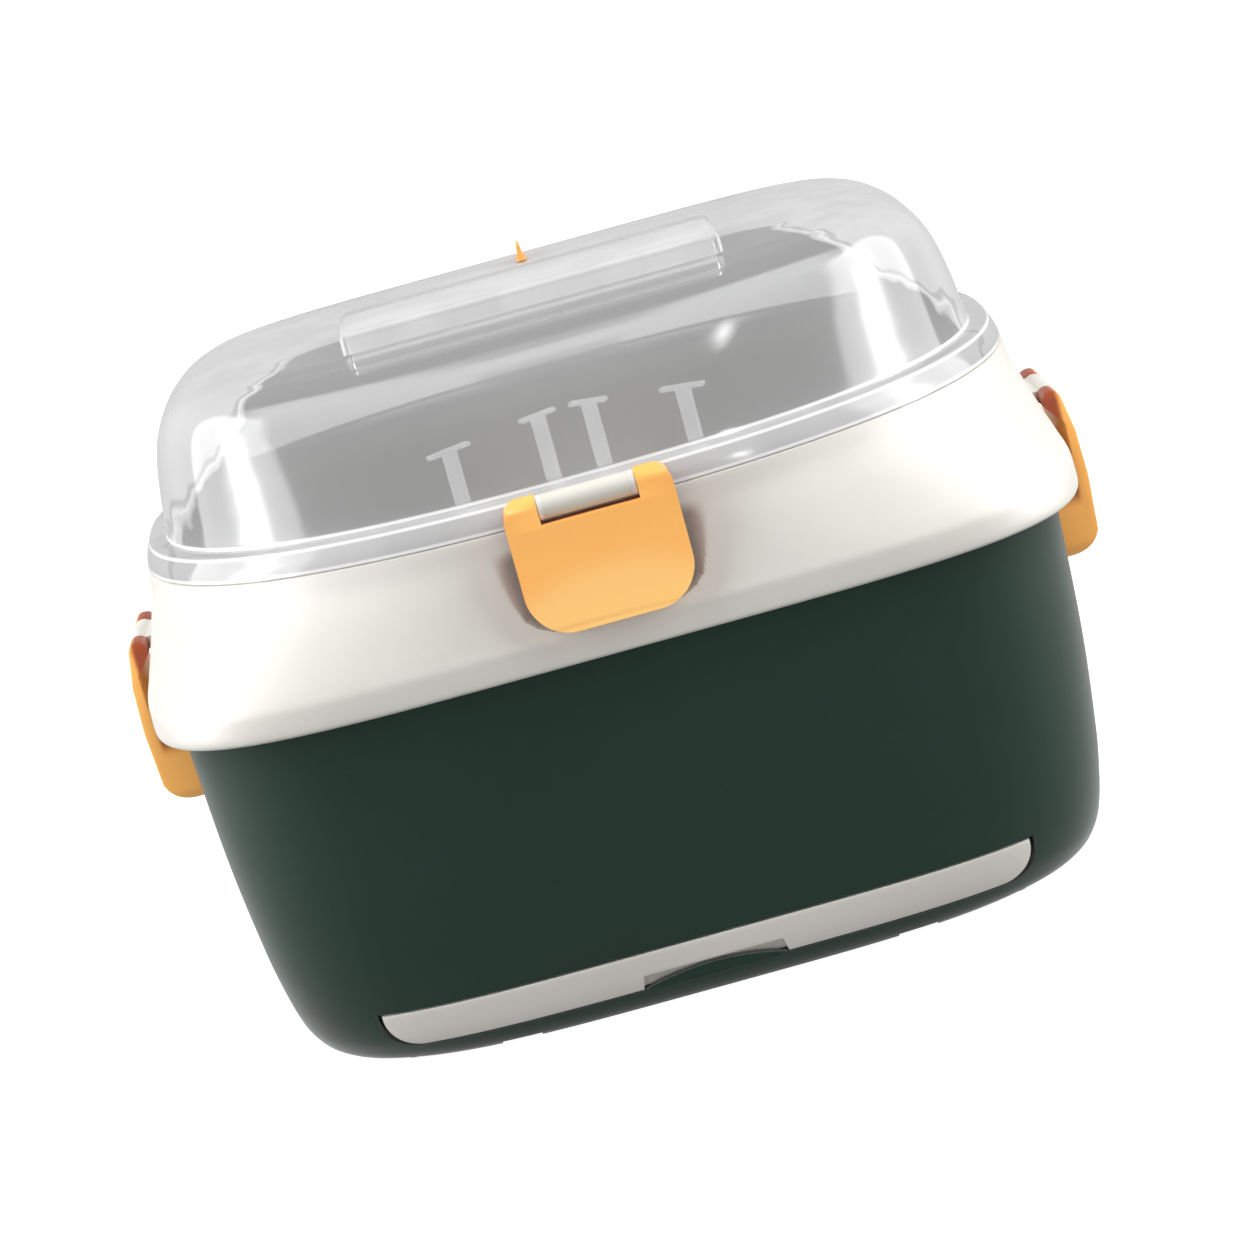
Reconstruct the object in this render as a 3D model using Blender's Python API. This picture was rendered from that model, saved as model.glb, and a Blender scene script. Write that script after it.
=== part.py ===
"""A baby bottle drying box: green tub, cream collar, clear hinged lid, drip drawer.

The box stands on the ground plane and faces -Y. The origin is at the middle of its
footprint. All lengths are in metres.
"""
import math

import bmesh
import bpy
from mathutils import Matrix, Vector

# Sizes that several pieces share
running_gap = 0.0003          # between pieces that touch or slide
overrun = 0.004               # how far a cutter runs past what it cuts
ring_points = 48              # corners of each lofted section
round_sides = 20              # sides of a small round piece
sunk_share = 0.7              # of a wall: how deep a joined part stands in it
skin_share = 0.3              # of a wall: how deep a joined part's visible face stands in it

# Tub
tub_half_x = 0.1615           # half widths at the shoulder, under the collar
tub_half_y = 0.1165
tub_base_half_x = 0.140       # half widths of the flat underside
tub_base_half_y = 0.0935
tub_base_z = 0.0012
tub_height = 0.136            # from the underside to the shoulder
tub_wall = 0.0025
neck_step = 0.007             # the neck stands in from the shoulder by this much
neck_height = 0.0105
floor_top_z = 0.0095          # floor that the drawer slides on
floor_plate = 0.0027
bay_roof_z = 0.027            # ceiling above the drawer
bay_roof_plate = 0.003
skirt_width = 0.012           # ring that carries the feet
# How far the side leans in, sideways and to the front, against height, and squareness
tub_side_shares = (
    (1.000, 1.000, 0.000, 3.8),
    (0.744, 0.883, 0.017, 3.9),
    (0.558, 0.761, 0.046, 4.0),
    (0.419, 0.622, 0.101, 4.2),
    (0.312, 0.509, 0.190, 4.4),
    (0.200, 0.387, 0.322, 4.5),
    (0.051, 0.187, 0.653, 4.6),
    (0.000, 0.000, 1.000, 4.6),
)
neck_squareness = 4.6

# Drip drawer
drawer_half_width = 0.1195
drawer_face_height = 0.0144
drawer_corner = 0.0125        # radius of the two lower corners
drawer_gap = 0.0008           # dark line round the drawer's face
drawer_depth = 0.168          # from the face's back to the tray's back
drawer_face_depth = 0.013
drawer_wall = 0.002
grip_half_width = 0.0255
grip_height = 0.0056
grip_depth = 0.0095
guide_rib_width = 0.002
guide_rib_height = 0.005

# Feet and the two shallow notches in the skirt's edge
foot_radius = 0.0048
foot_height = 0.003
foot_reach_share = 0.83       # places of the feet, along the middle of the skirt
notch_half_width = 0.0073
notch_height = 0.0012
notch_place_share = 0.52

# Collar
collar_overhang_x = 0.0085    # beyond the tub's shoulder
collar_overhang_y = 0.0075
collar_lean_x = 0.0095        # from the widest line in to the top edge
collar_lean_y = 0.0075
collar_height = 0.049
collar_wall = 0.003
collar_edge = 0.003           # rounding of the bottom edge
collar_inner_shares = (0.1, 0.9)      # heights between which the inside follows the outside
deck_width = 0.0125           # flat top that the lid rests on
lip_height = 0.0034           # upstand round the opening
lip_wall = 0.002
# Lean, height and squareness of the collar's side, bottom to top
collar_side_shares = (
    (0.000, 0.065, 4.7),
    (0.000, 0.184, 4.5),
    (0.147, 0.286, 4.2),
    (0.337, 0.408, 3.7),
    (0.716, 0.663, 3.0),
    (0.968, 0.867, 2.6),
    (1.000, 0.980, 2.45),
)

# Lid
lid_setback = 0.0005          # the lid's skirt stands in from the collar's edge
lid_wall = 0.0022
flange_height = 0.0085
flange_lean_x = 0.0025
flange_lean_y = 0.0032
flange_width = 0.0065         # flat ledge between the skirt and the dome
flange_bend_share = 0.35      # height of the bend in the skirt
flange_bend_lean_share = 0.2  # lean reached at that bend
flange_edge_share = 0.4       # of the wall: rounding of the ledge's outer edge
dome_thinning_shares = (0.5, 0.8, 1.0)    # of the wall: the inside lies lower near the top
lug_low_share = 0.18          # of the flange's height: lower end of a lug's root
lug_high_share = 0.55         # of a lug's radius above its pivot: upper end of its root
dome_height = 0.0527          # above the flange
dome_top_half_x = 0.111
dome_top_half_y = 0.063
lid_squareness = 2.45
# Lean, height and squareness of the dome's wall, from the flange up
dome_side_shares = (
    (0.000, 0.000, 2.45),
    (0.014, 0.036, 2.45),
    (0.066, 0.290, 2.5),
    (0.113, 0.470, 2.6),
    (0.183, 0.640, 2.8),
    (0.296, 0.790, 3.2),
    (0.460, 0.895, 3.9),
    (0.680, 0.960, 4.8),
    (1.000, 1.000, 6.0),
)
platform_half_x = 0.068       # raised panel on top
platform_front_y = -0.062
platform_depth = 0.049
platform_rise = 0.0078
platform_corner = 0.004

# Seal in the lid's channel
seal_width = 0.003
seal_gap = 0.0005

# Bottle rack and its posts
rack_clearance = 0.0025
rack_height = 0.0142
rack_plate = 0.0025
rack_skirt_lean = 0.0015
rack_squareness = 4.2
rack_slot_length = 0.040
rack_slot_width = 0.005
rack_slot_pitch = 0.0135
rack_slot_columns = 5
rack_slot_start = 0.060       # first slot's centre, left and right of the posts
rack_slot_row_share = 0.65    # of a slot's length: rows in front of and behind the middle
tub_slot_length = 0.050
tub_slot_width = 0.004
tub_slot_pitch = 0.022
tub_slot_count = 5
post_top_z = 0.2005
post_width = 0.0052
post_thickness = 0.0034
outer_post = (0.0434, -0.0255)
inner_post = (0.0096, -0.006)
outer_bar_length = 0.0175
inner_bar_length = 0.0150
bar_thickness = 0.0017
base_bar_height = 0.003
base_bar_width = 0.008
web_height = 0.100
stud_radius = 0.003
stud_length = 0.006

# Latches, their pins and the lid's rear hinge
pin_radius = 0.0012
pin_cover = 0.003             # a pin's blind bore ends this far inside the latch's sides
latch_wall = 0.004
latch_row_shares = (0.16, 0.35, 0.6, 0.8)     # heights down the front latch's curved face
latch_curve_power = 0.6       # how quickly the front latch leans out below its head
front_latch_half_width = 0.0291
front_latch_reach = 0.0038    # pivot beyond the collar's top edge
front_latch_rise = 0.0058     # pivot above the collar's deck
front_head_radius = 0.0050
front_knuckle_radius = 0.0044
front_knuckle_half = 0.0168
front_latch_drop = 0.0424     # pivot to the latch's bottom edge
front_latch_flare = 0.0034    # outer face at the bottom, beyond the head
front_corner_low = 0.0150
front_corner_high = 0.0080
hook_depth = 0.003
hook_height = 0.0025
ridge_half_width = 0.020
ridge_height = 0.0025
ridge_overlap = 0.001
scoop_half_top = 0.0345
scoop_half_middle = 0.0298
scoop_half_low = 0.0190
scoop_inset_top = 0.0030      # back of the scoop behind the collar's top edge
scoop_inset_low = 0.0002
scoop_height = 0.031
scoop_middle_share = 0.21     # height of the scoop's bend
scoop_wall = 0.0028
side_latch_half_width = 0.025
side_latch_reach = 0.0013     # pivot beyond the collar's widest line
side_latch_drop_z = 0.0285    # pivot below the collar's deck
side_head_radius = 0.0036
side_knuckle_radius = 0.0030
side_knuckle_half = 0.0125
side_latch_length = 0.0593    # pivot to the latch's bottom edge
side_latch_bulge = 0.0067     # outermost line beyond the pivot
side_cheek = 0.0025
side_floor = 0.003
side_wall_gap = 0.0013        # lower edge of the latch to the tub's shoulder
side_corner = 0.006
side_corner_deep_share = 2.25 # of the corner: rounding of the outer lower edge
side_corner_deep_end = 338    # angle where that rounding ends
side_corner_top_share = 0.6   # of the corner: rounding of the head's ends
side_bulge_share = 0.5        # of the latch's length: height of its outermost line
side_neck_share = 2.55        # of the head: where the inner face of the wall starts
side_brow_share = 3.5         # of the head: where the outer face leaves the head
side_brow_wall_share = 0.2    # of the wall: how far the face stands in there
knuckle_web_share = 0.7       # of a knuckle's radius: half height of its web
knuckle_web_end_share = 0.33  # of a knuckle's radius: how far short of the pivot the web ends
catch_half_width = 0.016
catch_height = 0.004
catch_reach = 0.004
hinge_reach = 0.0047          # rear pivot beyond the collar's top edge
hinge_radius = 0.0042
hinge_knuckle_half = 0.0195
hinge_ear_width = 0.010
hinge_ear_depth = 0.020

# Vent plug at the back of the lid's top
plug_y = 0.046
plug_stem_radius = 0.0017
plug_stem_length = 0.005
plug_shoulder_width = 0.0038
plug_shoulder_length = 0.012
plug_shoulder_height = 0.0009
plug_fin_width = 0.0026
plug_tip_width = 0.0010
plug_fin_height = 0.0052
plug_fin_length = 0.010

# Heights and half widths that follow from the sizes above
shoulder_z = tub_base_z + tub_height
neck_half_x = tub_half_x - neck_step
neck_half_y = tub_half_y - neck_step
bay_floor_under_z = floor_top_z - floor_plate
tub_floor_z = bay_roof_z + bay_roof_plate
collar_half_x = tub_half_x + collar_overhang_x
collar_half_y = tub_half_y + collar_overhang_y
collar_top_half_x = collar_half_x - collar_lean_x
collar_top_half_y = collar_half_y - collar_lean_y
collar_z = shoulder_z + running_gap
deck_z = collar_z + collar_height
lid_z = deck_z + running_gap
flange_half_x = collar_top_half_x - lid_setback
flange_half_y = collar_top_half_y - lid_setback
flange_top_z = lid_z + flange_height
dome_half_x = flange_half_x - flange_lean_x - flange_width
dome_half_y = flange_half_y - flange_lean_y - flange_width
dome_top_z = flange_top_z + dome_height
platform_top_z = dome_top_z + platform_rise
drawer_face_z = floor_top_z + drawer_gap
drawer_tray_z = floor_top_z + running_gap
tray_half_width = drawer_half_width - drawer_corner
rack_z = tub_floor_z + running_gap
rack_top_z = rack_z + rack_height
front_pivot_y = -(collar_top_half_y + front_latch_reach)
front_pivot_z = deck_z + front_latch_rise
side_pivot_x = collar_half_x + side_latch_reach
side_pivot_z = deck_z - side_latch_drop_z
hinge_y = collar_top_half_y + hinge_reach
hinge_z = front_pivot_z

palette = {
    "green": ((0.018, 0.044, 0.034), 0.42, 0.0),
    "cream": ((0.830, 0.810, 0.740), 0.40, 0.0),
    "orange": ((0.960, 0.440, 0.110), 0.38, 0.0),
    "grey": ((0.560, 0.530, 0.490), 0.45, 0.0),
    "clear": ((0.620, 0.620, 0.620), 0.08, 0.0),
    "white": ((0.850, 0.850, 0.840), 0.40, 0.0),
    "rubber": ((0.030, 0.032, 0.032), 0.85, 0.0),
    "steel": ((0.600, 0.600, 0.610), 0.30, 1.0),
    "seal": ((0.880, 0.880, 0.860), 0.60, 0.0),
}


def clear_scene():
    for thing in list(bpy.data.objects):
        bpy.data.objects.remove(thing, do_unlink=True)


def make_collection(name):
    collection = bpy.data.collections.new(name)
    bpy.context.scene.collection.children.link(collection)
    return collection


def material(name):
    found = bpy.data.materials.get(name)
    if found:
        return found
    colour, roughness, metallic = palette[name]
    made = bpy.data.materials.new(name)
    made.use_nodes = True
    shader = made.node_tree.nodes["Principled BSDF"]
    shader.inputs["Base Color"].default_value = (*colour, 1.0)
    shader.inputs["Roughness"].default_value = roughness
    shader.inputs["Metallic"].default_value = metallic
    return made


def object_from(shape, name, matrix=None):
    """Turn a bmesh into an object with outward faces."""
    bmesh.ops.recalc_face_normals(shape, faces=shape.faces)
    mesh = bpy.data.meshes.new(name)
    shape.to_mesh(mesh)
    shape.free()
    if matrix:
        mesh.transform(matrix)
        if matrix.determinant() < 0:
            mesh.flip_normals()
    return bpy.data.objects.new(name, mesh)


def superellipse(half_x, half_y, squareness):
    """Points round a rounded rectangle; squareness 2 is an ellipse."""
    points = []
    for step in range(ring_points):
        angle = math.tau * (step + 0.5) / ring_points
        c, s = math.cos(angle), math.sin(angle)
        x = half_x * math.copysign(abs(c) ** (2 / squareness), c)
        y = half_y * math.copysign(abs(s) ** (2 / squareness), s)
        points.append((x, y))
    return points


def loft(name, rings, closed=False):
    """Skin rings of (half x, half y, squareness, z); closed joins the last to the first."""
    shape = bmesh.new()
    loops = []
    for half_x, half_y, squareness, z in rings:
        points = superellipse(half_x, half_y, squareness)
        loops.append([shape.verts.new((x, y, z)) for x, y in points])
    pairs = list(zip(loops, loops[1:]))
    if closed:
        pairs.append((loops[-1], loops[0]))
    for low, high in pairs:
        for i in range(ring_points):
            j = (i + 1) % ring_points
            shape.faces.new((low[i], low[j], high[j], high[i]))
    if not closed:
        shape.faces.new(loops[0])
        shape.faces.new(loops[-1])
    bmesh.ops.triangulate(shape, faces=[f for f in shape.faces if len(f.verts) == 4])
    return object_from(shape, name)


def box(name, low, high, bevel=0.0):
    """A block between two corners, with its upright edges rounded if asked."""
    shape = bmesh.new()
    bmesh.ops.create_cube(shape, size=1.0)
    low, high = Vector(low), Vector(high)
    for vert in shape.verts:
        vert.co = Vector(((low[i] + high[i]) / 2 + vert.co[i] * (high[i] - low[i]) for i in range(3)))
    if bevel:
        upright = [e for e in shape.edges if abs(e.verts[0].co.z - e.verts[1].co.z) > bevel / 2
                   and abs(e.verts[0].co.x - e.verts[1].co.x) < bevel / 2
                   and abs(e.verts[0].co.y - e.verts[1].co.y) < bevel / 2]
        bmesh.ops.bevel(shape, geom=upright, offset=bevel, segments=4, profile=0.5, affect="EDGES")
    return object_from(shape, name)


def cylinder(name, radius, start, end, sides=round_sides):
    """A round bar from one point to another."""
    start, end = Vector(start), Vector(end)
    shape = bmesh.new()
    bmesh.ops.create_cone(shape, cap_ends=True, segments=sides, radius1=radius, radius2=radius,
                          depth=(end - start).length)
    turn = (end - start).to_track_quat("Z", "Y").to_matrix().to_4x4()
    return object_from(shape, name, Matrix.Translation((start + end) / 2) @ turn)


def arc(centre, radius, start, end, steps):
    """Points along an arc, angles in degrees."""
    points = []
    for step in range(steps + 1):
        angle = math.radians(start + (end - start) * step / steps)
        points.append((centre[0] + radius * math.cos(angle), centre[1] + radius * math.sin(angle)))
    return points


def prism(name, outline, low, high, frame):
    """An outline in the frame's first and third axes, pushed along its second from low to high."""
    shape = bmesh.new()
    base = shape.faces.new([shape.verts.new((u, low, v)) for u, v in outline])
    pushed = bmesh.ops.extrude_face_region(shape, geom=[base])
    moved = [part for part in pushed["geom"] if isinstance(part, bmesh.types.BMVert)]
    bmesh.ops.translate(shape, vec=(0, high - low, 0), verts=moved)
    return object_from(shape, name, frame)


def join_shapes(name, shapes):
    """Several separate closed shapes as one cutter."""
    whole = bmesh.new()
    for shape in shapes:
        whole.from_mesh(shape.data)
        mesh = shape.data
        bpy.data.objects.remove(shape)
        bpy.data.meshes.remove(mesh)
    mesh = bpy.data.meshes.new(name)
    whole.to_mesh(mesh)
    whole.free()
    return bpy.data.objects.new(name, mesh)


def keep_piece(thing, material_name, collection):
    collection.objects.link(thing)
    thing.data.materials.append(material(material_name))
    thing.data.shade_smooth()
    thing.data.set_sharp_from_angle(angle=math.radians(30))
    return thing


def shape_with(piece, tool, operation, cutters):
    """Cut, join or trim a piece with a tool object that stays hidden."""
    cutters.objects.link(tool)
    tool.hide_render = True
    tool.display_type = "WIRE"
    change = piece.modifiers.new(tool.name, "BOOLEAN")
    change.operation = operation
    change.object = tool


def tub_rings(inset, low_z, high_z):
    """The tub's side between two heights, drawn in by a wall."""
    def at(z):
        share = (z - tub_base_z) / tub_height
        rows = tub_side_shares
        for low, high in zip(rows, rows[1:]):
            if share <= high[2] or high is rows[-1]:
                mix = (share - low[2]) / (high[2] - low[2])
                lean_x, lean_y, _, squareness = (a + (b - a) * mix for a, b in zip(low, high))
                break
        half_x = tub_half_x - lean_x * (tub_half_x - tub_base_half_x) - inset
        half_y = tub_half_y - lean_y * (tub_half_y - tub_base_half_y) - inset
        return half_x, half_y, squareness, z
    heights = [tub_base_z + row[2] * tub_height for row in tub_side_shares]
    between = [z for z in heights if low_z < z < high_z]
    return [at(z) for z in [low_z, *between, high_z]]


def build_tub(pieces, cutters):
    """One moulding: outer side, neck, a floor with drain slots and a bay for the drawer."""
    neck_top_z = shoulder_z + neck_height
    outer = tub_rings(0, tub_base_z, shoulder_z)
    outer += [(neck_half_x, neck_half_y, neck_squareness, z) for z in (shoulder_z, neck_top_z)]
    tub = keep_piece(loft("tub", outer), "green", pieces)

    inner_neck = (neck_half_x - tub_wall, neck_half_y - tub_wall, neck_squareness)
    hollow = tub_rings(tub_wall, tub_floor_z, shoulder_z - neck_step - tub_wall)
    hollow += [(*inner_neck, shoulder_z - tub_wall), (*inner_neck, neck_top_z + overrun)]
    shape_with(tub, loft("tub_hollow", hollow), "DIFFERENCE", cutters)

    bay = tub_rings(tub_wall, floor_top_z, bay_roof_z)
    bay_half_x, bay_half_y, bay_squareness, _ = bay[0]
    bay = [(bay_half_x, bay_half_y, bay_squareness, z) for z in (floor_top_z, bay_roof_z)]
    shape_with(tub, loft("drawer_bay", bay), "DIFFERENCE", cutters)

    slot = drawer_outline(drawer_gap)
    front = prism("drawer_slot", slot, -tub_half_y, -drawer_reach(), Matrix.Identity(4))
    shape_with(tub, front, "DIFFERENCE", cutters)

    underside = tub_rings(0, tub_base_z, shoulder_z)[0]
    recess = [(underside[0] - skirt_width, underside[1] - skirt_width, underside[2], z)
              for z in (tub_base_z - overrun, bay_floor_under_z)]
    shape_with(tub, loft("underside_recess", recess), "DIFFERENCE", cutters)

    ribs = []
    rib_x = tray_half_width + 2 * running_gap
    rib_end = tray_back_y() - drawer_corner
    for side in (-1, 1):
        near, far = sorted((side * rib_x, side * (rib_x + guide_rib_width)))
        ribs.append(box("rib", (near, -rib_end, floor_top_z - floor_plate / 2),
                        (far, rib_end, floor_top_z + guide_rib_height)))
    shape_with(tub, join_shapes("guide_ribs", ribs), "UNION", cutters)

    slots = []
    for step in range(tub_slot_count):
        y = (step - (tub_slot_count - 1) / 2) * tub_slot_pitch
        slots.append(box("slot", (-tub_slot_length / 2, y - tub_slot_width / 2, bay_roof_z - overrun),
                         (tub_slot_length / 2, y + tub_slot_width / 2, tub_floor_z + overrun)))
    shape_with(tub, join_shapes("drain_slots", slots), "DIFFERENCE", cutters)

    catches = []
    catch_top_z = latch_floor_z() + side_floor + running_gap + catch_height
    for side in (-1, 1):
        inner = tub_half_x - tub_wall
        near, far = sorted((side * inner, side * (tub_half_x + catch_reach)))
        catches.append(box("catch", (near, -catch_half_width, catch_top_z - catch_height),
                           (far, catch_half_width, catch_top_z)))
    shape_with(tub, join_shapes("latch_catches", catches), "UNION", cutters)

    pockets = []
    for x, y in foot_places():
        pockets.append(cylinder("pocket", foot_radius + running_gap, (x, y, tub_base_z - overrun),
                                (x, y, foot_height + running_gap)))
    notch_x = notch_place_share * tub_base_half_x
    for side in (-1, 1):
        pockets.append(box("notch", (side * notch_x - notch_half_width, -tub_half_y, tub_base_z - overrun),
                           (side * notch_x + notch_half_width, tub_half_y, tub_base_z + notch_height)))
    shape_with(tub, join_shapes("foot_pockets", pockets), "DIFFERENCE", cutters)


def foot_places():
    middle_x = tub_base_half_x - skirt_width / 2
    middle_y = tub_base_half_y - skirt_width / 2
    squareness = tub_side_shares[0][3]
    x = foot_reach_share * middle_x
    y = middle_y * (1 - foot_reach_share ** squareness) ** (1 / squareness)
    return [(sx * x, sy * y) for sy in (-1, 1) for sx in (-1, 1)]


def build_feet(pieces):
    names = ("foot_front_left", "foot_front_right", "foot_rear_left", "foot_rear_right")
    for name, (x, y) in zip(names, foot_places()):
        keep_piece(cylinder(name, foot_radius, (x, y, 0), (x, y, foot_height)), "rubber", pieces)


def drawer_outline(grow):
    """The drawer's face from the front: square top corners, round lower ones."""
    half = drawer_half_width + grow
    low, high = drawer_face_z - grow, drawer_face_z + drawer_face_height + grow
    radius = drawer_corner + grow
    points = [(half, high), (-half, high)]
    points += arc((-half + radius, low + radius), radius, 180, 270, 6)
    points += arc((half - radius, low + radius), radius, 270, 360, 6)
    return points


def drawer_reach():
    """How far forward the back of the drawer's face stands."""
    half_y = tub_rings(0, drawer_face_z, shoulder_z)[0][1]
    return half_y - drawer_face_depth


def tray_back_y():
    return drawer_depth - drawer_reach()


def build_drawer(pieces, cutters):
    """A shallow tray behind a face that lies flush with the tub's front."""
    drawer = prism("drip_drawer", drawer_outline(0), -tub_half_y, -drawer_reach(), Matrix.Identity(4))
    keep_piece(drawer, "grey", pieces)
    flush = loft("tub_side_copy", tub_rings(0, tub_base_z, shoulder_z))
    shape_with(drawer, flush, "INTERSECT", cutters)

    tray_top_z = drawer_face_z + drawer_face_height - drawer_wall
    tray_front_y = -drawer_reach() - drawer_wall
    tray = box("tray_block", (-tray_half_width, tray_front_y, drawer_tray_z),
               (tray_half_width, tray_back_y(), tray_top_z), drawer_corner / 2)
    shape_with(drawer, tray, "UNION", cutters)

    hollow = box("tray_hollow", (drawer_wall - tray_half_width, drawer_wall - drawer_reach(),
                                 drawer_tray_z + drawer_wall),
                 (tray_half_width - drawer_wall, tray_back_y() - drawer_wall, tray_top_z + overrun),
                 drawer_corner / 2)
    shape_with(drawer, hollow, "DIFFERENCE", cutters)

    face_y = -tub_rings(0, drawer_face_z, shoulder_z)[0][1]
    grip = box("grip_pocket", (-grip_half_width, face_y - overrun, drawer_face_z - overrun),
               (grip_half_width, face_y + grip_depth, drawer_face_z + grip_height))
    shape_with(drawer, grip, "DIFFERENCE", cutters)


def build_rack(pieces, cutters):
    """A slotted tray turned upside down, which stands on the tub's floor."""
    half_x, half_y, _, _ = tub_rings(tub_wall + rack_clearance, tub_floor_z, shoulder_z)[0]
    top_x, top_y = half_x - rack_skirt_lean, half_y - rack_skirt_lean
    rings = [(half_x, half_y, rack_squareness, rack_z), (top_x, top_y, rack_squareness, rack_top_z)]
    rack = keep_piece(loft("drain_rack", rings), "cream", pieces)
    under = [(half_x - rack_plate, half_y - rack_plate, rack_squareness, rack_z - overrun),
             (top_x - rack_plate, top_y - rack_plate, rack_squareness, rack_top_z - rack_plate)]
    shape_with(rack, loft("rack_hollow", under), "DIFFERENCE", cutters)

    slots = []
    for side in (-1, 1):
        for column in range(rack_slot_columns):
            x = side * (rack_slot_start + column * rack_slot_pitch)
            for y in (-rack_slot_length * rack_slot_row_share, rack_slot_length * rack_slot_row_share):
                slots.append(box("slot", (x - rack_slot_width / 2, y - rack_slot_length / 2,
                                          rack_top_z - rack_plate - overrun),
                                 (x + rack_slot_width / 2, y + rack_slot_length / 2,
                                  rack_top_z + overrun)))
    for side in (-1, 1):
        x, y = post_middle(side)
        hole_low_z = rack_top_z - rack_plate - overrun
        slots.append(cylinder("hole", stud_radius + running_gap, (x, y, hole_low_z),
                              (x, y, rack_top_z + overrun)))
    shape_with(rack, join_shapes("rack_slots", slots), "DIFFERENCE", cutters)


def post_middle(side):
    return (side * (outer_post[0] + inner_post[0]) / 2, (outer_post[1] + inner_post[1]) / 2)


def build_posts(pieces, cutters):
    """A pair of T-topped posts on one bar, set slantwise, left and right."""
    for side, word in ((-1, "left"), (1, "right")):
        outer = Vector((side * outer_post[0], outer_post[1]))
        inner = Vector((side * inner_post[0], inner_post[1]))
        middle = (outer + inner) / 2
        along = (outer - inner).normalized()
        half_span = (outer - inner).length / 2
        frame = Matrix.Translation((middle.x, middle.y, 0))
        frame = frame @ Matrix.Rotation(math.atan2(along.y, along.x), 4, "Z")
        base_z = rack_top_z + running_gap
        base_top_z = base_z + base_bar_height
        stem_top_z = post_top_z - bar_thickness
        web_top_z = base_z + web_height
        half_base = half_span + post_width
        half_stem = post_width / 2
        sunk_z = base_z + base_bar_height / 2
        outer_half, inner_half = outer_bar_length / 2, inner_bar_length / 2
        upright = [
            (-half_stem - half_span, sunk_z), (half_span + half_stem, sunk_z),
            (half_span + half_stem, stem_top_z), (half_span + outer_half, stem_top_z),
            (half_span + outer_half, post_top_z), (half_span - outer_half, post_top_z),
            (half_span - outer_half, stem_top_z), (half_span - half_stem, stem_top_z),
            (half_span - half_stem, web_top_z), (half_stem - half_span, web_top_z),
            (half_stem - half_span, stem_top_z), (inner_half - half_span, stem_top_z),
            (inner_half - half_span, post_top_z), (-inner_half - half_span, post_top_z),
            (-inner_half - half_span, stem_top_z), (-half_stem - half_span, stem_top_z),
        ]
        half = post_thickness / 2
        posts = keep_piece(prism(f"{word}_bottle_posts", upright, -half, half, frame), "white", pieces)
        foot = box(f"{word}_post_foot", (-half_base, -base_bar_width / 2, base_z),
                   (half_base, base_bar_width / 2, base_top_z))
        foot.data.transform(frame)
        shape_with(posts, foot, "UNION", cutters)
        centre = frame @ Vector((0, 0, 0))
        stud = cylinder(f"{word}_post_stud", stud_radius, (centre.x, centre.y, base_z - stud_length),
                        (centre.x, centre.y, sunk_z))
        shape_with(posts, stud, "UNION", cutters)


def collar_rings(inset, low_share=0.0, high_share=1.0):
    """Rows of the collar's side, drawn in by a wall."""
    rows = []
    for lean, share, squareness in collar_side_shares:
        if low_share <= share <= high_share:
            rows.append((collar_half_x - lean * collar_lean_x - inset,
                         collar_half_y - lean * collar_lean_y - inset,
                         squareness, collar_z + share * collar_height))
    return rows


def build_collar(pieces, cutters):
    """A flared ring: flange on the tub's shoulder, outer side, deck and lip for the lid."""
    side = collar_rings(0)
    low, high = side[0], side[-1]
    edge = [(low[0] - collar_edge, low[1] - collar_edge, low[2], collar_z),
            (low[0] - collar_edge * skin_share, low[1] - collar_edge * skin_share, low[2],
             collar_z + collar_edge * skin_share)]
    top = (high[0] - running_gap, high[1] - running_gap, high[2], deck_z)
    opening = (high[0] - deck_width, high[1] - deck_width, high[2])
    lip_inner = (opening[0] - lip_wall, opening[1] - lip_wall, high[2])
    lip_top_z = deck_z + lip_height
    deck_under_z = deck_z - collar_wall
    inner = collar_rings(collar_wall, *collar_inner_shares)[::-1]
    flange_top = collar_z + collar_wall
    hole = (neck_half_x + running_gap, neck_half_y + running_gap, neck_squareness)
    rings = edge + side + [top, (*opening, deck_z), (*opening, lip_top_z), (*lip_inner, lip_top_z),
                           (*lip_inner, deck_under_z)]
    rings += [(inner[0][0], inner[0][1], inner[0][2], deck_under_z)]
    rings += inner + [(inner[-1][0], inner[-1][1], inner[-1][2], flange_top)]
    rings += [(*hole, flange_top), (*hole, collar_z)]
    collar = keep_piece(loft("collar", rings, closed=True), "cream", pieces)

    add_scoop(collar, cutters)
    add_side_knuckles(collar, cutters)
    add_hinge_ears(collar, cutters)


def collar_front(z):
    """Half depth of the collar's outer side at a height."""
    rows = collar_rings(0)
    for low, high in zip(rows, rows[1:]):
        if z <= high[3] or high is rows[-1]:
            mix = (z - low[3]) / (high[3] - low[3])
            return low[1] + (high[1] - low[1]) * mix


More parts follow.
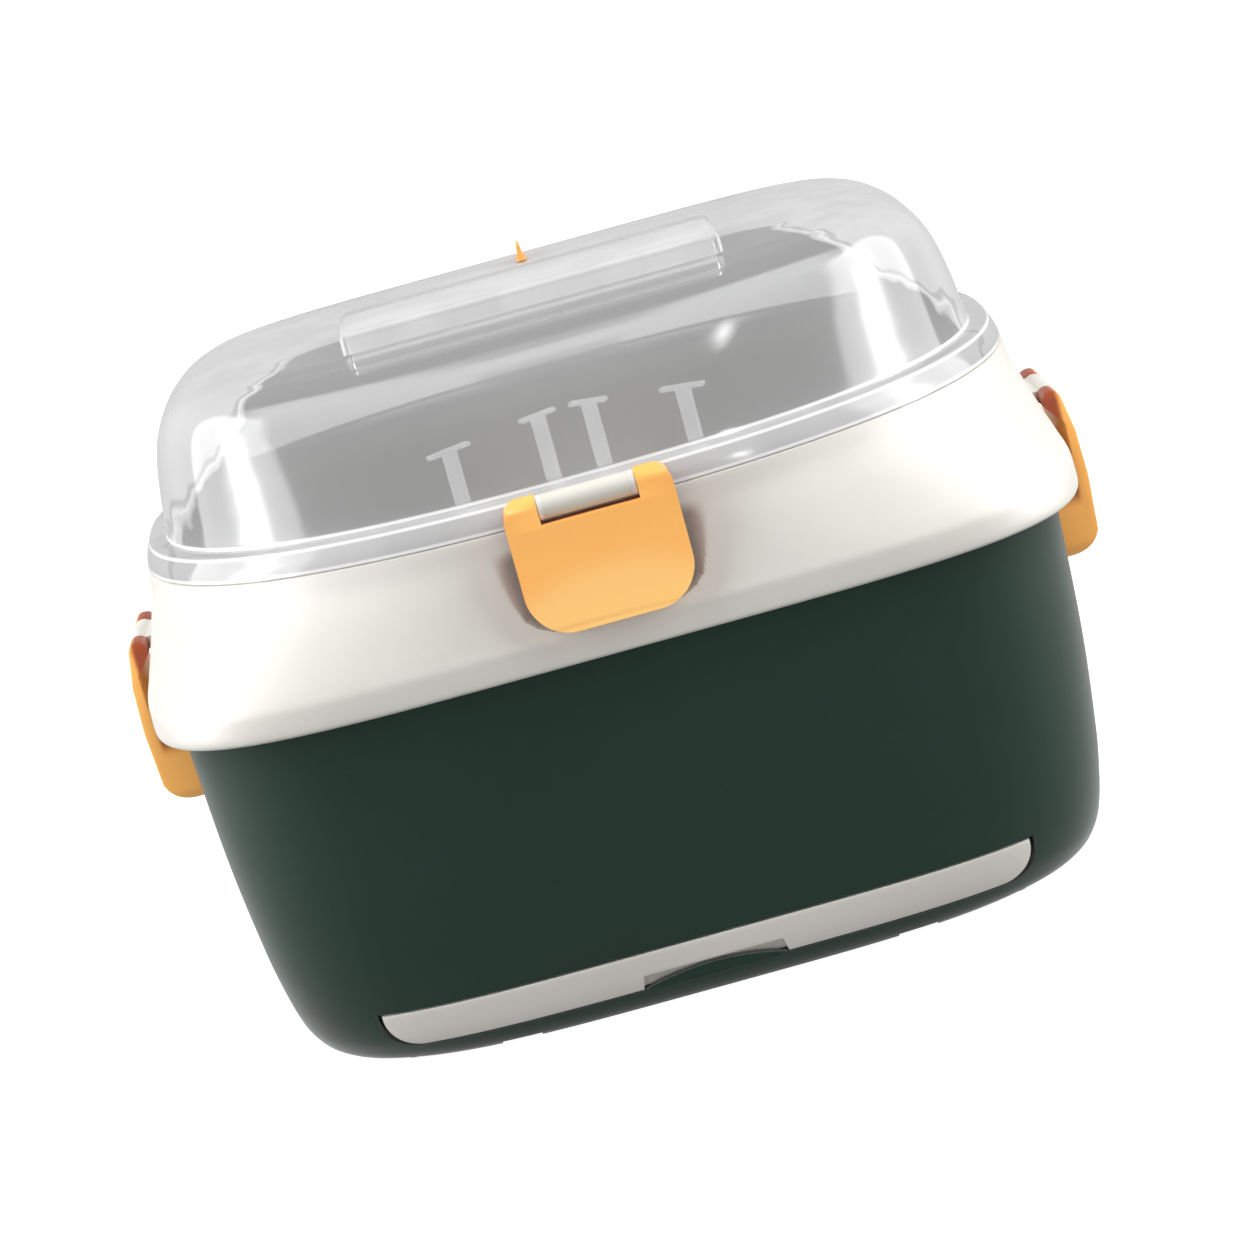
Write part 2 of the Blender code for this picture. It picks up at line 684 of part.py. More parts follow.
def add_scoop(collar, cutters):
    """The hollow behind the front latch, with the ridge that the latch hooks under."""
    scoop_top_z = deck_z - collar_wall * 2
    scoop_low_z = scoop_top_z - scoop_height
    back_top = collar_top_half_y - scoop_inset_top
    back_low = collar_top_half_y - scoop_inset_low
    half_block = scoop_half_top + scoop_wall * 2
    shy = collar_wall * sunk_share
    backing_low_z = collar_z + collar_wall / 2
    backing_top_z = deck_z - collar_wall / 2
    between = [row[3] for row in collar_rings(0, *collar_inner_shares)[1:]]
    heights = [backing_low_z, *between, backing_top_z]
    outline = [(-(collar_front(z) - shy), z) for z in heights]
    outline += [(-(back_top - scoop_wall), backing_top_z), (-(back_low - scoop_wall), backing_low_z)]
    backing_frame = Matrix(((0, 1, 0, 0), (1, 0, 0, 0), (0, 0, 1, 0), (0, 0, 0, 1)))
    backing = prism("scoop_backing", outline, -half_block, half_block, backing_frame)
    shape_with(collar, backing, "UNION", cutters)

    shape = bmesh.new()
    front_y = -collar_half_y - overrun
    corners = []
    middle_z = scoop_low_z + scoop_middle_share * scoop_height
    middle_back = back_low + scoop_middle_share * (back_top - back_low)
    rows = ((scoop_low_z, scoop_half_low, back_low), (middle_z, scoop_half_middle, middle_back),
            (scoop_top_z, scoop_half_top, back_top))
    for z, half, back in rows:
        ring = [(-half, front_y), (half, front_y), (half - scoop_wall, -back), (scoop_wall - half, -back)]
        corners.append([shape.verts.new((x, y, z)) for x, y in ring])
    shape.faces.new(corners[0])
    shape.faces.new(corners[-1])
    for low, high in zip(corners, corners[1:]):
        for i in range(4):
            j = (i + 1) % 4
            shape.faces.new((low[i], low[j], high[j], high[i]))
    shape_with(collar, object_from(shape, "front_scoop"), "DIFFERENCE", cutters)

    hook_z = front_hook_z()
    ridge_face = front_hook_tip() + ridge_overlap
    ridge = box("catch_ridge", (-ridge_half_width, -ridge_face, hook_z + hook_height + running_gap),
                (ridge_half_width, -(back_low - scoop_wall / 2),
                 hook_z + hook_height + running_gap + ridge_height))
    shape_with(collar, ridge, "UNION", cutters)


def front_latch_inner(drop):
    """Distance from the middle to the front latch's inner face, at a drop below its pivot."""
    lean = front_latch_flare * min(drop / front_latch_drop, 1) ** latch_curve_power
    return -front_pivot_y + front_head_radius - latch_wall + lean


def front_hook_z():
    return front_pivot_z - front_latch_drop + hook_height


def front_hook_tip():
    return front_latch_inner(front_latch_drop) - hook_depth


def add_side_knuckles(collar, cutters):
    for side, word in ((-1, "left"), (1, "right")):
        pivot = (side * side_pivot_x, side_pivot_z)
        knuckle = cylinder(f"{word}_knuckle", side_knuckle_radius,
                           (pivot[0], -side_knuckle_half, pivot[1]), (pivot[0], side_knuckle_half, pivot[1]))
        shape_with(collar, knuckle, "UNION", cutters)
        wall_x = collar_half_x - collar_lean_x
        web_end = side_pivot_x - side_knuckle_radius * knuckle_web_end_share
        near, far = sorted((side * (wall_x - collar_wall / 2), side * web_end))
        web_half = side_knuckle_radius * knuckle_web_share
        web = box(f"{word}_knuckle_web", (near, -side_knuckle_half, pivot[1] - web_half),
                  (far, side_knuckle_half, pivot[1] + web_half))
        shape_with(collar, web, "UNION", cutters)
        bore = cylinder(f"{word}_knuckle_bore", pin_radius + running_gap,
                        (pivot[0], -side_latch_half_width, pivot[1]),
                        (pivot[0], side_latch_half_width, pivot[1]))
        shape_with(collar, bore, "DIFFERENCE", cutters)


def add_hinge_ears(collar, cutters):
    """Two ears at the back carry the hinge pin."""
    parts = []
    inner = hinge_knuckle_half + running_gap
    outer = inner + hinge_ear_width
    low_z = hinge_z - hinge_ear_depth
    inner_y = collar_front(low_z) - collar_wall * sunk_share
    outline = [(inner_y, low_z), (collar_front(low_z) - collar_wall * skin_share, low_z)]
    outline += arc((hinge_y, hinge_z), hinge_radius, 0, 180, 10)
    outline += [(hinge_y - hinge_radius, deck_z - collar_wall / 2), (inner_y, deck_z - collar_wall)]
    frame = Matrix(((0, 1, 0, 0), (1, 0, 0, 0), (0, 0, 1, 0), (0, 0, 0, 1)))
    for low, high in ((-outer, -inner), (inner, outer)):
        parts.append(prism("ear", outline, low, high, frame))
    shape_with(collar, join_shapes("hinge_ears", parts), "UNION", cutters)
    bore = cylinder("ear_bore", pin_radius + running_gap, (-outer - overrun, hinge_y, hinge_z),
                    (outer + overrun, hinge_y, hinge_z))
    shape_with(collar, bore, "DIFFERENCE", cutters)


def dome_rings(inset):
    """The dome's wall, from the flange to the edge of its flat top."""
    rows = []
    for lean, share, squareness in dome_side_shares:
        rows.append((dome_half_x - lean * (dome_half_x - dome_top_half_x) - inset,
                     dome_half_y - lean * (dome_half_y - dome_top_half_y) - inset,
                     squareness, flange_top_z + share * dome_height))
    return rows


def build_lid(pieces, cutters):
    """A clear moulding: skirt and ledge, dome, raised panel, and lugs for latch and hinge."""
    upper_x, upper_y = flange_half_x - flange_lean_x, flange_half_y - flange_lean_y
    rings = [(flange_half_x, flange_half_y, lid_squareness, lid_z),
             (flange_half_x - flange_lean_x * flange_bend_lean_share,
              flange_half_y - flange_lean_y * flange_bend_lean_share, lid_squareness,
              lid_z + flange_height * flange_bend_share),
             (upper_x, upper_y, lid_squareness, flange_top_z - lid_wall * skin_share),
             (upper_x - lid_wall * flange_edge_share, upper_y - lid_wall * flange_edge_share,
              lid_squareness, flange_top_z)]
    rings += dome_rings(0)
    lid = keep_piece(loft("lid", rings), "clear", pieces)
    panel = platform_block("raised_panel", 0)
    shape_with(lid, panel, "UNION", cutters)

    ceiling_z = flange_top_z - lid_wall
    skirt_x, skirt_y = upper_x - lid_wall, upper_y - lid_wall
    channel_in_x, channel_in_y = dome_half_x, dome_half_y
    channel = [(skirt_x, skirt_y, lid_squareness, lid_z - overrun),
               (skirt_x, skirt_y, lid_squareness, ceiling_z),
               (channel_in_x, channel_in_y, lid_squareness, ceiling_z),
               (channel_in_x, channel_in_y, lid_squareness, lid_z - overrun)]
    shape_with(lid, loft("seal_channel", channel, closed=True), "DIFFERENCE", cutters)
    walls = dome_rings(lid_wall)
    first = walls[0]
    hollow = [(first[0], first[1], first[2], lid_z - overrun)] + walls[:-1]
    last = walls[-1]
    hollow += [(last[0], last[1], last[2], last[3] - lid_wall)]
    for place, share in zip((-4, -3, -2), dome_thinning_shares):
        hollow[place] = (*hollow[place][:3], hollow[place][3] - lid_wall * share)
    shape_with(lid, loft("dome_hollow", hollow), "DIFFERENCE", cutters)
    shape_with(lid, platform_block("panel_hollow", lid_wall), "DIFFERENCE", cutters)

    lug_frame = Matrix(((0, 1, 0, 0), (1, 0, 0, 0), (0, 0, 1, 0), (0, 0, 0, 1)))
    for word, facing, pivot_y, radius, half in (
            ("latch", -1, front_pivot_y, front_knuckle_radius, front_knuckle_half),
            ("hinge", 1, hinge_y, hinge_radius, hinge_knuckle_half)):
        wall_y = facing * (upper_y - lid_wall / 2)
        low_z = lid_z + flange_height * lug_low_share
        turn = arc((pivot_y, front_pivot_z), radius, 90, 90 - facing * 180, 12)
        outline = [(wall_y, front_pivot_z + radius * lug_high_share)] + turn + [(wall_y, low_z)]
        lug = prism(f"{word}_lug", outline, -half, half, lug_frame)
        shape_with(lid, lug, "UNION", cutters)
        bore = cylinder(f"{word}_lug_bore", pin_radius + running_gap,
                        (-half - overrun, pivot_y, front_pivot_z), (half + overrun, pivot_y, front_pivot_z))
        shape_with(lid, bore, "DIFFERENCE", cutters)
    hole_low_z = dome_top_z - lid_wall - overrun
    hole = cylinder("vent_hole", plug_stem_radius + running_gap, (0, plug_y, hole_low_z),
                    (0, plug_y, dome_top_z + overrun))
    shape_with(lid, hole, "DIFFERENCE", cutters)


def platform_block(name, inset):
    return box(name, (-platform_half_x + inset, platform_front_y + inset,
                      dome_top_z - platform_rise - platform_corner),
               (platform_half_x - inset, platform_front_y + platform_depth - inset,
                platform_top_z - inset), platform_corner)


def build_seal(pieces):
    """A soft ring in the lid's channel, pressed on the collar's deck."""
    low_z, high_z = lid_z, flange_top_z - lid_wall - running_gap
    inner_x = dome_half_x + seal_gap
    inner_y = dome_half_y + seal_gap
    rings = []
    for z, ring in ((low_z, 0), (high_z, 0), (high_z, 1), (low_z, 1)):
        grow = 0 if ring else seal_width
        rings.append((inner_x + grow, inner_y + grow, lid_squareness, z))
    keep_piece(loft("lid_seal", rings, closed=True), "seal", pieces)


def rounded_outline(half_width, low, high, low_radius, high_radius):
    """A latch from the front, with its corners rounded."""
    points = arc((half_width - high_radius, high - high_radius), high_radius, 0, 90, 5)
    points += arc((high_radius - half_width, high - high_radius), high_radius, 90, 180, 5)
    points += arc((low_radius - half_width, low + low_radius), low_radius, 180, 270, 6)
    points += arc((half_width - low_radius, low + low_radius), low_radius, 270, 360, 6)
    return points


def build_front_latch(pieces, cutters):
    """A flap that hangs from the lid's lug and hooks under the collar's ridge."""
    side_frame = Matrix(((0, 1, 0, 0), (-1, 0, 0, 0), (0, 0, 1, 0), (0, 0, 0, 1)))
    pivot = (-front_pivot_y, front_pivot_z)
    bottom_z = front_pivot_z - front_latch_drop
    outline = arc(pivot, front_head_radius, 0, 200, 12)
    drops = [front_latch_drop * share for share in latch_row_shares]
    outline += [(front_latch_inner(drop), front_pivot_z - drop) for drop in drops]
    hook_top_z = front_hook_z() + hook_height
    outline += [(front_latch_inner(front_latch_drop), hook_top_z), (front_hook_tip(), hook_top_z),
                (front_hook_tip(), front_hook_z()), (front_latch_inner(front_latch_drop), bottom_z)]
    outline += [(front_latch_inner(drop) + latch_wall, front_pivot_z - drop)
                for drop in [front_latch_drop, *drops[::-1]]]
    half = front_latch_half_width
    latch = keep_piece(prism("front_latch", outline, -half, half, side_frame), "orange", pieces)
    trim_outline = rounded_outline(half, bottom_z, front_pivot_z + front_head_radius + running_gap,
                                   front_corner_low, front_corner_high)
    trim = prism("front_latch_outline", trim_outline, -2 * collar_half_y, -neck_half_y,
                 Matrix.Identity(4))
    shape_with(latch, trim, "INTERSECT", cutters)
    notch_half = front_knuckle_half + running_gap
    notch = box("front_latch_notch", (-notch_half, front_pivot_y - front_head_radius - overrun,
                                      front_pivot_z - front_knuckle_radius - 2 * running_gap),
                (notch_half, front_pivot_y + front_head_radius + overrun,
                 front_pivot_z + front_head_radius + overrun))
    shape_with(latch, notch, "DIFFERENCE", cutters)
    blind = half - pin_cover + running_gap
    bore = cylinder("front_latch_bore", pin_radius + running_gap, (-blind, front_pivot_y, front_pivot_z),
                    (blind, front_pivot_y, front_pivot_z))
    shape_with(latch, bore, "DIFFERENCE", cutters)


def latch_floor_z():
    return side_pivot_z - side_latch_length


def build_side_latch(side, word, pieces, cutters):
    """A cupped flap that hangs from the collar and hooks under the tub's catch."""
    frame = Matrix(((side, 0, 0, 0), (0, 1, 0, 0), (0, 0, 1, 0), (0, 0, 0, 1)))
    pivot = (side_pivot_x, side_pivot_z)
    low_z = latch_floor_z()
    outer_x = side_pivot_x + side_latch_bulge
    tub_x = tub_half_x + side_wall_gap
    mouth_z = collar_z - 3 * running_gap
    wall_x = outer_x - latch_wall
    head = side_head_radius
    corner = side_corner
    full = arc(pivot, head, 0, 200, 10)
    full += [(wall_x, side_pivot_z - head * side_neck_share), (wall_x, mouth_z), (tub_x, mouth_z),
             (tub_x, low_z)]
    deep = corner * side_corner_deep_share
    full += arc((outer_x - deep, low_z + deep), deep, 270, side_corner_deep_end, 6)
    full += [(outer_x, low_z + side_latch_length * side_bulge_share),
             (outer_x - latch_wall * side_brow_wall_share, side_pivot_z - head * side_brow_share)]
    half = side_latch_half_width
    latch = keep_piece(prism(f"{word}_latch", full, -half, half, frame), "orange", pieces)
    cup_outline = [(tub_x - overrun, mouth_z + overrun), (tub_x - overrun, low_z + side_floor)]
    cup_outline += arc((outer_x - deep, low_z + deep), deep - side_floor, 270, side_corner_deep_end, 6)
    cup_outline += [(wall_x, low_z + side_latch_length * side_bulge_share), (wall_x, mouth_z + overrun)]
    cup = prism(f"{word}_latch_cup", cup_outline, side_cheek - half, half - side_cheek, frame)
    shape_with(latch, cup, "DIFFERENCE", cutters)
    trim_frame = Matrix(((0, side, 0, 0), (1, 0, 0, 0), (0, 0, 1, 0), (0, 0, 0, 1)))
    trim_outline = rounded_outline(half, low_z, side_pivot_z + head + running_gap, corner,
                                   corner * side_corner_top_share)
    trim = prism(f"{word}_latch_outline", trim_outline, neck_half_x, 2 * collar_half_x, trim_frame)
    shape_with(latch, trim, "INTERSECT", cutters)
    notch_half = side_knuckle_half + running_gap
    near, far = sorted((side * (side_pivot_x - head - overrun), side * (side_pivot_x + head + overrun)))
    notch_z = side_pivot_z - side_knuckle_radius - 2 * running_gap
    notch = box(f"{word}_latch_notch", (near, -notch_half, notch_z),
                (far, notch_half, side_pivot_z + head + overrun))
    shape_with(latch, notch, "DIFFERENCE", cutters)
    x = side * side_pivot_x
    blind = half - pin_cover + running_gap
    bore = cylinder(f"{word}_latch_bore", pin_radius + running_gap, (x, -blind, side_pivot_z),
                    (x, blind, side_pivot_z))
    shape_with(latch, bore, "DIFFERENCE", cutters)


def build_pins(pieces):
    """Steel pins on the four hinge lines."""
    half = front_latch_half_width - pin_cover
    keep_piece(cylinder("front_latch_pin", pin_radius, (-half, front_pivot_y, front_pivot_z),
                        (half, front_pivot_y, front_pivot_z)), "steel", pieces)
    half = side_latch_half_width - pin_cover
    for side, word in ((-1, "left"), (1, "right")):
        x = side * side_pivot_x
        keep_piece(cylinder(f"{word}_latch_pin", pin_radius, (x, -half, side_pivot_z),
                            (x, half, side_pivot_z)), "steel", pieces)
    half = hinge_knuckle_half + hinge_ear_width
    keep_piece(cylinder("hinge_pin", pin_radius, (-half, hinge_y, hinge_z), (half, hinge_y, hinge_z)),
               "steel", pieces)


def build_plug(pieces, cutters):
    """An orange vent plug: a shoulder on the lid, a stem through it and a fin to pull."""
    base_z = dome_top_z + running_gap
    shoulder_top = base_z + plug_shoulder_height
    half_length = plug_shoulder_length / 2
    plug = box("vent_plug", (-plug_shoulder_width / 2, plug_y - half_length, base_z),
               (plug_shoulder_width / 2, plug_y + half_length, shoulder_top), plug_shoulder_width / 3)
    keep_piece(plug, "orange", pieces)
    sunk_z = base_z + plug_shoulder_height / 2
    stem = cylinder("plug_stem", plug_stem_radius, (0, plug_y, base_z - plug_stem_length),
                    (0, plug_y, sunk_z))
    shape_with(plug, stem, "UNION", cutters)
    fin_top = shoulder_top + plug_fin_height
    outline = [(-plug_fin_width / 2, sunk_z), (plug_fin_width / 2, sunk_z),
               (plug_tip_width / 2, fin_top), (-plug_tip_width / 2, fin_top)]
    half_fin = plug_fin_length / 2
    fin = prism("plug_fin", outline, plug_y - half_fin, plug_y + half_fin, Matrix.Identity(4))
    shape_with(plug, fin, "UNION", cutters)


def main():
    clear_scene()
    pieces = make_collection("bottle_drying_box")
    cutters = make_collection("cutters")
    build_tub(pieces, cutters)
    build_feet(pieces)
    build_drawer(pieces, cutters)
    build_rack(pieces, cutters)
    build_posts(pieces, cutters)
    build_collar(pieces, cutters)
    build_lid(pieces, cutters)
    build_seal(pieces)
    build_front_latch(pieces, cutters)
    for side, word in ((-1, "left"), (1, "right")):
        build_side_latch(side, word, pieces, cutters)
    build_pins(pieces)
    build_plug(pieces, cutters)


main()
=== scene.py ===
# %% [markdown]
# # A baby bottle drying box, dressed for its portrait
# The box is a deep green tub with a cream collar, a clear hinged lid, orange latches and a
# grey drip drawer. The imported CAD model is the frame: it says where every piece is and how it
# moves. This lesson remodels the mouldings with finer curves and gives each its finish.
# The first cell loads the frame and reads the size of each of its parts. The dressed box may
# not outgrow it.

# %% Load the frame
import math

import bmesh
import bpy
from mathutils import Matrix, Vector


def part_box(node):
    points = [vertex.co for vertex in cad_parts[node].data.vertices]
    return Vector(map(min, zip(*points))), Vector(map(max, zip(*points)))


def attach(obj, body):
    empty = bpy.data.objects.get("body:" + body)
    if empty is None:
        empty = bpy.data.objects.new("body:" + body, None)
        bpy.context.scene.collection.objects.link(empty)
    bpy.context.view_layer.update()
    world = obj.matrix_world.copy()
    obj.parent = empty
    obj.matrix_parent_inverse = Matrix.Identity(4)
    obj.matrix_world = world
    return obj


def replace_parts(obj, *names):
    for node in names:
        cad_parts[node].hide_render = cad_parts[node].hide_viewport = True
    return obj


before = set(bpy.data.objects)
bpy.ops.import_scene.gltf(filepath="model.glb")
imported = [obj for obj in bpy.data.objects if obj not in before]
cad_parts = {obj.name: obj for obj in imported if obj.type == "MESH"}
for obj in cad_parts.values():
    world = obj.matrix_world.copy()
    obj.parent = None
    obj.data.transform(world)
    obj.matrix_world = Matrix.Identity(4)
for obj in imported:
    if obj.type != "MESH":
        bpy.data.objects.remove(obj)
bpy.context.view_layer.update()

# %% [markdown]
# Every piece starts from a primitive that is shaped in edit mode. An operator acts on all that
# is selected, and the loaded CAD nodes start out selected, so each step first clears the
# selection. These few helpers are used by every later cell.

# %% Start, finish and join pieces


def deselect():
    bpy.ops.object.select_all(action="DESELECT")


def take(piece):
    """Make a piece the only selected one."""
    deselect()
    piece.select_set(True)
    bpy.context.view_layer.objects.active = piece


def edit(action="SELECT"):
    """Open the active piece in edit mode, with all of it selected or none."""
    bpy.ops.object.mode_set(mode="EDIT")
    bpy.ops.mesh.select_all(action=action)


def leave():
    bpy.ops.object.mode_set(mode="OBJECT")


def named(name):
    piece = bpy.context.object
    piece.name = name
    piece.data.name = name
    return piece


def settle(piece):
    """Put the piece's place into its mesh and turn its faces outwards."""
    take(piece)
    bpy.ops.object.transform_apply(location=True, rotation=True, scale=True)
    edit()
    bpy.ops.mesh.remove_doubles(threshold=0.000002)
    bpy.ops.mesh.normals_make_consistent(inside=False)
    leave()
    return piece


def combine(piece, tool, how):
    """Cut, join or trim a piece with a tool, which is used up."""
    settle(tool)
    take(piece)
    change = piece.modifiers.new("carve", "BOOLEAN")
    change.operation = how
    change.solver = "EXACT"
    change.object = tool
    bpy.ops.object.modifier_apply(modifier=change.name)
    mesh = tool.data
    bpy.data.objects.remove(tool)
    bpy.data.meshes.remove(mesh)


def cut(piece, tool):
    combine(piece, tool, "DIFFERENCE")


def join(piece, tool):
    combine(piece, tool, "UNION")


def soften(piece, width, segments, angle):
    """Round the sharp edges, as every mould does."""
    take(piece)
    edge = piece.modifiers.new("edge", "BEVEL")
    edge.width = width
    edge.segments = segments
    edge.limit_method = "ANGLE"
    edge.angle_limit = math.radians(angle)
    edge.use_clamp_overlap = True
    bpy.ops.object.modifier_apply(modifier=edge.name)


def smooth(piece, angle=32):
    take(piece)
    bpy.ops.object.shade_smooth_by_angle(angle=math.radians(angle))
    return piece


print("helpers ready")

# %% [markdown]
# The mouldings are all stacks of rounded rectangles. A circle with its angles kept and its
# radius bent is such a rounded rectangle, called a superellipse: squareness 2 is an ellipse,
# and 4 or 5 has full corners. Each ring is the last one extruded and set in its new place, so
# the wall grows upwards as it would by hand, only with numbers instead of the mouse. The
# points are first crowded towards the corners, where the curve needs them.

# %% Ring by ring
RING_POINTS = 224
CROWDING = 2.8
UNIT_CIRCLE = (1, 1, 2, 0)


def ring_place(angle, ring):
    half_x, half_y, squareness, z = ring
    c, s = math.cos(angle), math.sin(angle)
    reach = (abs(c) ** squareness + abs(s) ** squareness) ** (-1 / squareness)
    return Vector((half_x * reach * c, half_y * reach * s, z))


def ring_angle(place, ring):
    return math.atan2(place.y / ring[1], place.x / ring[0])


def crowd(angle):
    """Move a point of an even circle nearer to the corner of its quarter."""
    c, s = math.cos(angle), math.sin(angle)
    power = 2 / CROWDING
    return math.atan2(math.copysign(abs(s) ** power, s), math.copysign(abs(c) ** power, c))


def raise_rings(name, rings, closed=False):
    """Grow a wall through rings of (half x, half y, squareness, z)."""
    deselect()
    bpy.ops.mesh.primitive_circle_add(vertices=RING_POINTS, radius=1,
                                      rotation=(0, 0, math.pi / RING_POINTS),
                                      fill_type="NOTHING" if closed else "NGON")
    piece = named(name)
    bpy.ops.object.transform_apply(rotation=True)
    edit()
    last = UNIT_CIRCLE
    path = rings + [rings[0]] if closed else rings
    extrude = bpy.ops.mesh.extrude_edges_move if closed else bpy.ops.mesh.extrude_region_move
    for number, ring in enumerate(path):
        if number:
            extrude()
        shape = bmesh.from_edit_mesh(piece.data)
        for vert in shape.verts:
            if vert.select:
                angle = ring_angle(vert.co, last)
                vert.co = ring_place(angle if number else crowd(angle), ring)
        bmesh.update_edit_mesh(piece.data)
        last = ring
    leave()
    return settle(piece)


def ease(rows, steps):
    """More rows between the given ones, on a curve through them that never overshoots."""
    rises = [[(b[k] - a[k]) / (b[-1] - a[-1]) for k in range(len(a) - 1)]
             for a, b in zip(rows, rows[1:])]
    slopes = [rises[0]]
    for before, after in zip(rises, rises[1:]):
        slopes.append([2 * a * b / (a + b) if a * b > 0 else 0.0 for a, b in zip(before, after)])
    slopes.append(rises[-1])
    eased = []
    for low, high, slope_low, slope_high in zip(rows, rows[1:], slopes, slopes[1:]):
        gap = high[-1] - low[-1]
        for step in range(steps):
            t = step / steps
            h00, h10 = 2 * t ** 3 - 3 * t ** 2 + 1, t ** 3 - 2 * t ** 2 + t
            h01, h11 = 3 * t ** 2 - 2 * t ** 3, t ** 3 - t ** 2
            eased.append(tuple(h00 * a + h10 * gap * slope_a + h01 * b + h11 * gap * slope_b
                               for a, b, slope_a, slope_b in zip(low, high, slope_low, slope_high))
                         + (low[-1] + gap * t,))
    return eased + [tuple(rows[-1])]


print("rings have", RING_POINTS, "points")

# %% [markdown]
# Straight-sided details, such as lugs, hooks and slots, are outlines pushed to a thickness.
# A block, a bar and a slab of any outline are enough for all of them.

# %% Blocks, bars and slabs


def block(name, low, high, rounding=0.0, segments=4, upright=True):
    """A block between two corners, its edges rounded with the bevel operator."""
    deselect()
    low, high = Vector(low), Vector(high)
    bpy.ops.mesh.primitive_cube_add(size=1, location=(low + high) / 2, scale=high - low)
    piece = named(name)
    bpy.ops.object.transform_apply(location=True, scale=True)
    if rounding:
        edit()
        shape = bmesh.from_edit_mesh(piece.data)
        for edge in shape.edges:
            along = edge.verts[0].co - edge.verts[1].co
            edge.select_set(not upright or abs(along.z) > 0.99 * along.length)
        shape.select_flush_mode()
        bmesh.update_edit_mesh(piece.data)
        bpy.ops.mesh.bevel(offset=rounding, segments=segments, profile=0.5)
        leave()
    return piece


def bar(name, radius, start, end):
    """A round bar from one point to another."""
    deselect()
    start, end = Vector(start), Vector(end)
    bpy.ops.mesh.primitive_cylinder_add(vertices=32, radius=radius, depth=(end - start).length,
                                        location=(start + end) / 2,
                                        rotation=(end - start).to_track_quat("Z", "Y").to_euler())
    piece = named(name)
    return settle(piece)


def slab(name, outline, low, high, across="Y"):
    """An outline of (sideways, height) points, pushed along X or Y from low to high."""
    deselect()
    bpy.ops.mesh.primitive_circle_add(vertices=len(outline), radius=1, fill_type="NGON")
    piece = named(name)
    places = [(low, u, v) if across == "X" else (u, low, v) for u, v in outline]
    for vert, place in zip(piece.data.vertices, places):
        vert.co = place
    push = (high - low, 0, 0) if across == "X" else (0, high - low, 0)
    edit()
    bpy.ops.mesh.extrude_region_move(TRANSFORM_OT_translate={"value": push})
    leave()
    return settle(piece)


def arc(centre, radius, start, end, steps):
    """Points along an arc, angles in degrees."""
    turns = [math.radians(start + (end - start) * step / steps) for step in range(steps + 1)]
    return [(centre[0] + radius * math.cos(turn), centre[1] + radius * math.sin(turn))
            for turn in turns]


print("tools ready")

# %% [markdown]
# ## The tub
# The real tub is one injection moulding in dark green ABS. Its lower edge is drawn in like the
# bilge of a boat, the side then rises almost straight to the shoulder under the collar, and a
# narrower neck stands inside the collar. Each row of its table gives how far the side is drawn
# in across and in depth, as a share of the most it is drawn in, then the squareness and the
# height as a share of the side. Easing puts six rows in the place of one, so the light runs over
# the side without a break. Tools that cut reach a few millimetres past what they cut, and pieces
# that touch in the real box stand 0.3 mm apart.

# %% Tub side
GAP, PAST, HAIR = 0.0003, 0.004, 0.00002
tub_low, tub_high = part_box("tub")
TUB_HALF = (0.1615, 0.1165)
TUB_BASE_HALF = (0.140, 0.0935)
TUB_BASE_Z, TUB_HEIGHT, TUB_WALL = 0.0012, 0.136, 0.0025
SHOULDER_Z = TUB_BASE_Z + TUB_HEIGHT
SHOULDER = 0.007
NECK = (TUB_HALF[0] - SHOULDER, TUB_HALF[1] - SHOULDER, 4.6)
NECK_TOP_Z = SHOULDER_Z + 0.0105
FLOOR_Z, BAY_ROOF_Z, TUB_FLOOR_Z = 0.0095, 0.027, 0.030
TUB_ROWS = ((1.000, 1.000, 3.8, 0.000), (0.744, 0.883, 3.9, 0.017), (0.558, 0.761, 4.0, 0.046),
            (0.419, 0.622, 4.2, 0.101), (0.312, 0.509, 4.4, 0.190), (0.200, 0.387, 4.5, 0.322),
            (0.051, 0.187, 4.6, 0.653), (0.000, 0.000, 4.6, 1.000))


def tub_side(inset, low_z=TUB_BASE_Z, high_z=SHOULDER_Z):
    """The tub's side between two heights, drawn in by a wall."""
    rings = []
    for lean_x, lean_y, squareness, share in ease(TUB_ROWS, 6):
        z = TUB_BASE_Z + share * TUB_HEIGHT
        rings.append((TUB_HALF[0] - lean_x * (TUB_HALF[0] - TUB_BASE_HALF[0]) - inset,
                      TUB_HALF[1] - lean_y * (TUB_HALF[1] - TUB_BASE_HALF[1]) - inset, squareness, z))
    kept = [ring for ring in rings if low_z < ring[3] < high_z]
    ends = []
    for z in (low_z, high_z):
        above = next((ring for ring in rings if ring[3] >= z - 1e-9), rings[-1])
        below = next((ring for ring in reversed(rings) if ring[3] <= z + 1e-9), rings[0])
        mix = 0 if above == below else (z - below[3]) / (above[3] - below[3])
        ends.append(tuple(a + (b - a) * mix for a, b in zip(below[:3], above[:3])) + (z,))
    return [ends[0]] + kept + [ends[1]]


outer = tub_side(0) + [(*NECK, SHOULDER_Z + HAIR), (*NECK, NECK_TOP_Z)]
tub = raise_rings("tub_shell", outer)
inner_neck = (NECK[0] - TUB_WALL, NECK[1] - TUB_WALL, NECK[2])
hollow = tub_side(TUB_WALL, TUB_FLOOR_Z, SHOULDER_Z - 0.0095)
hollow += [(*inner_neck, SHOULDER_Z - TUB_WALL), (*inner_neck, NECK_TOP_Z + PAST)]
cut(tub, raise_rings("hollow", hollow))
print("tub side:", len(outer), "rings, CAD box",
      [tuple(round(value, 4) for value in corner) for corner in (tub_low, tub_high)])

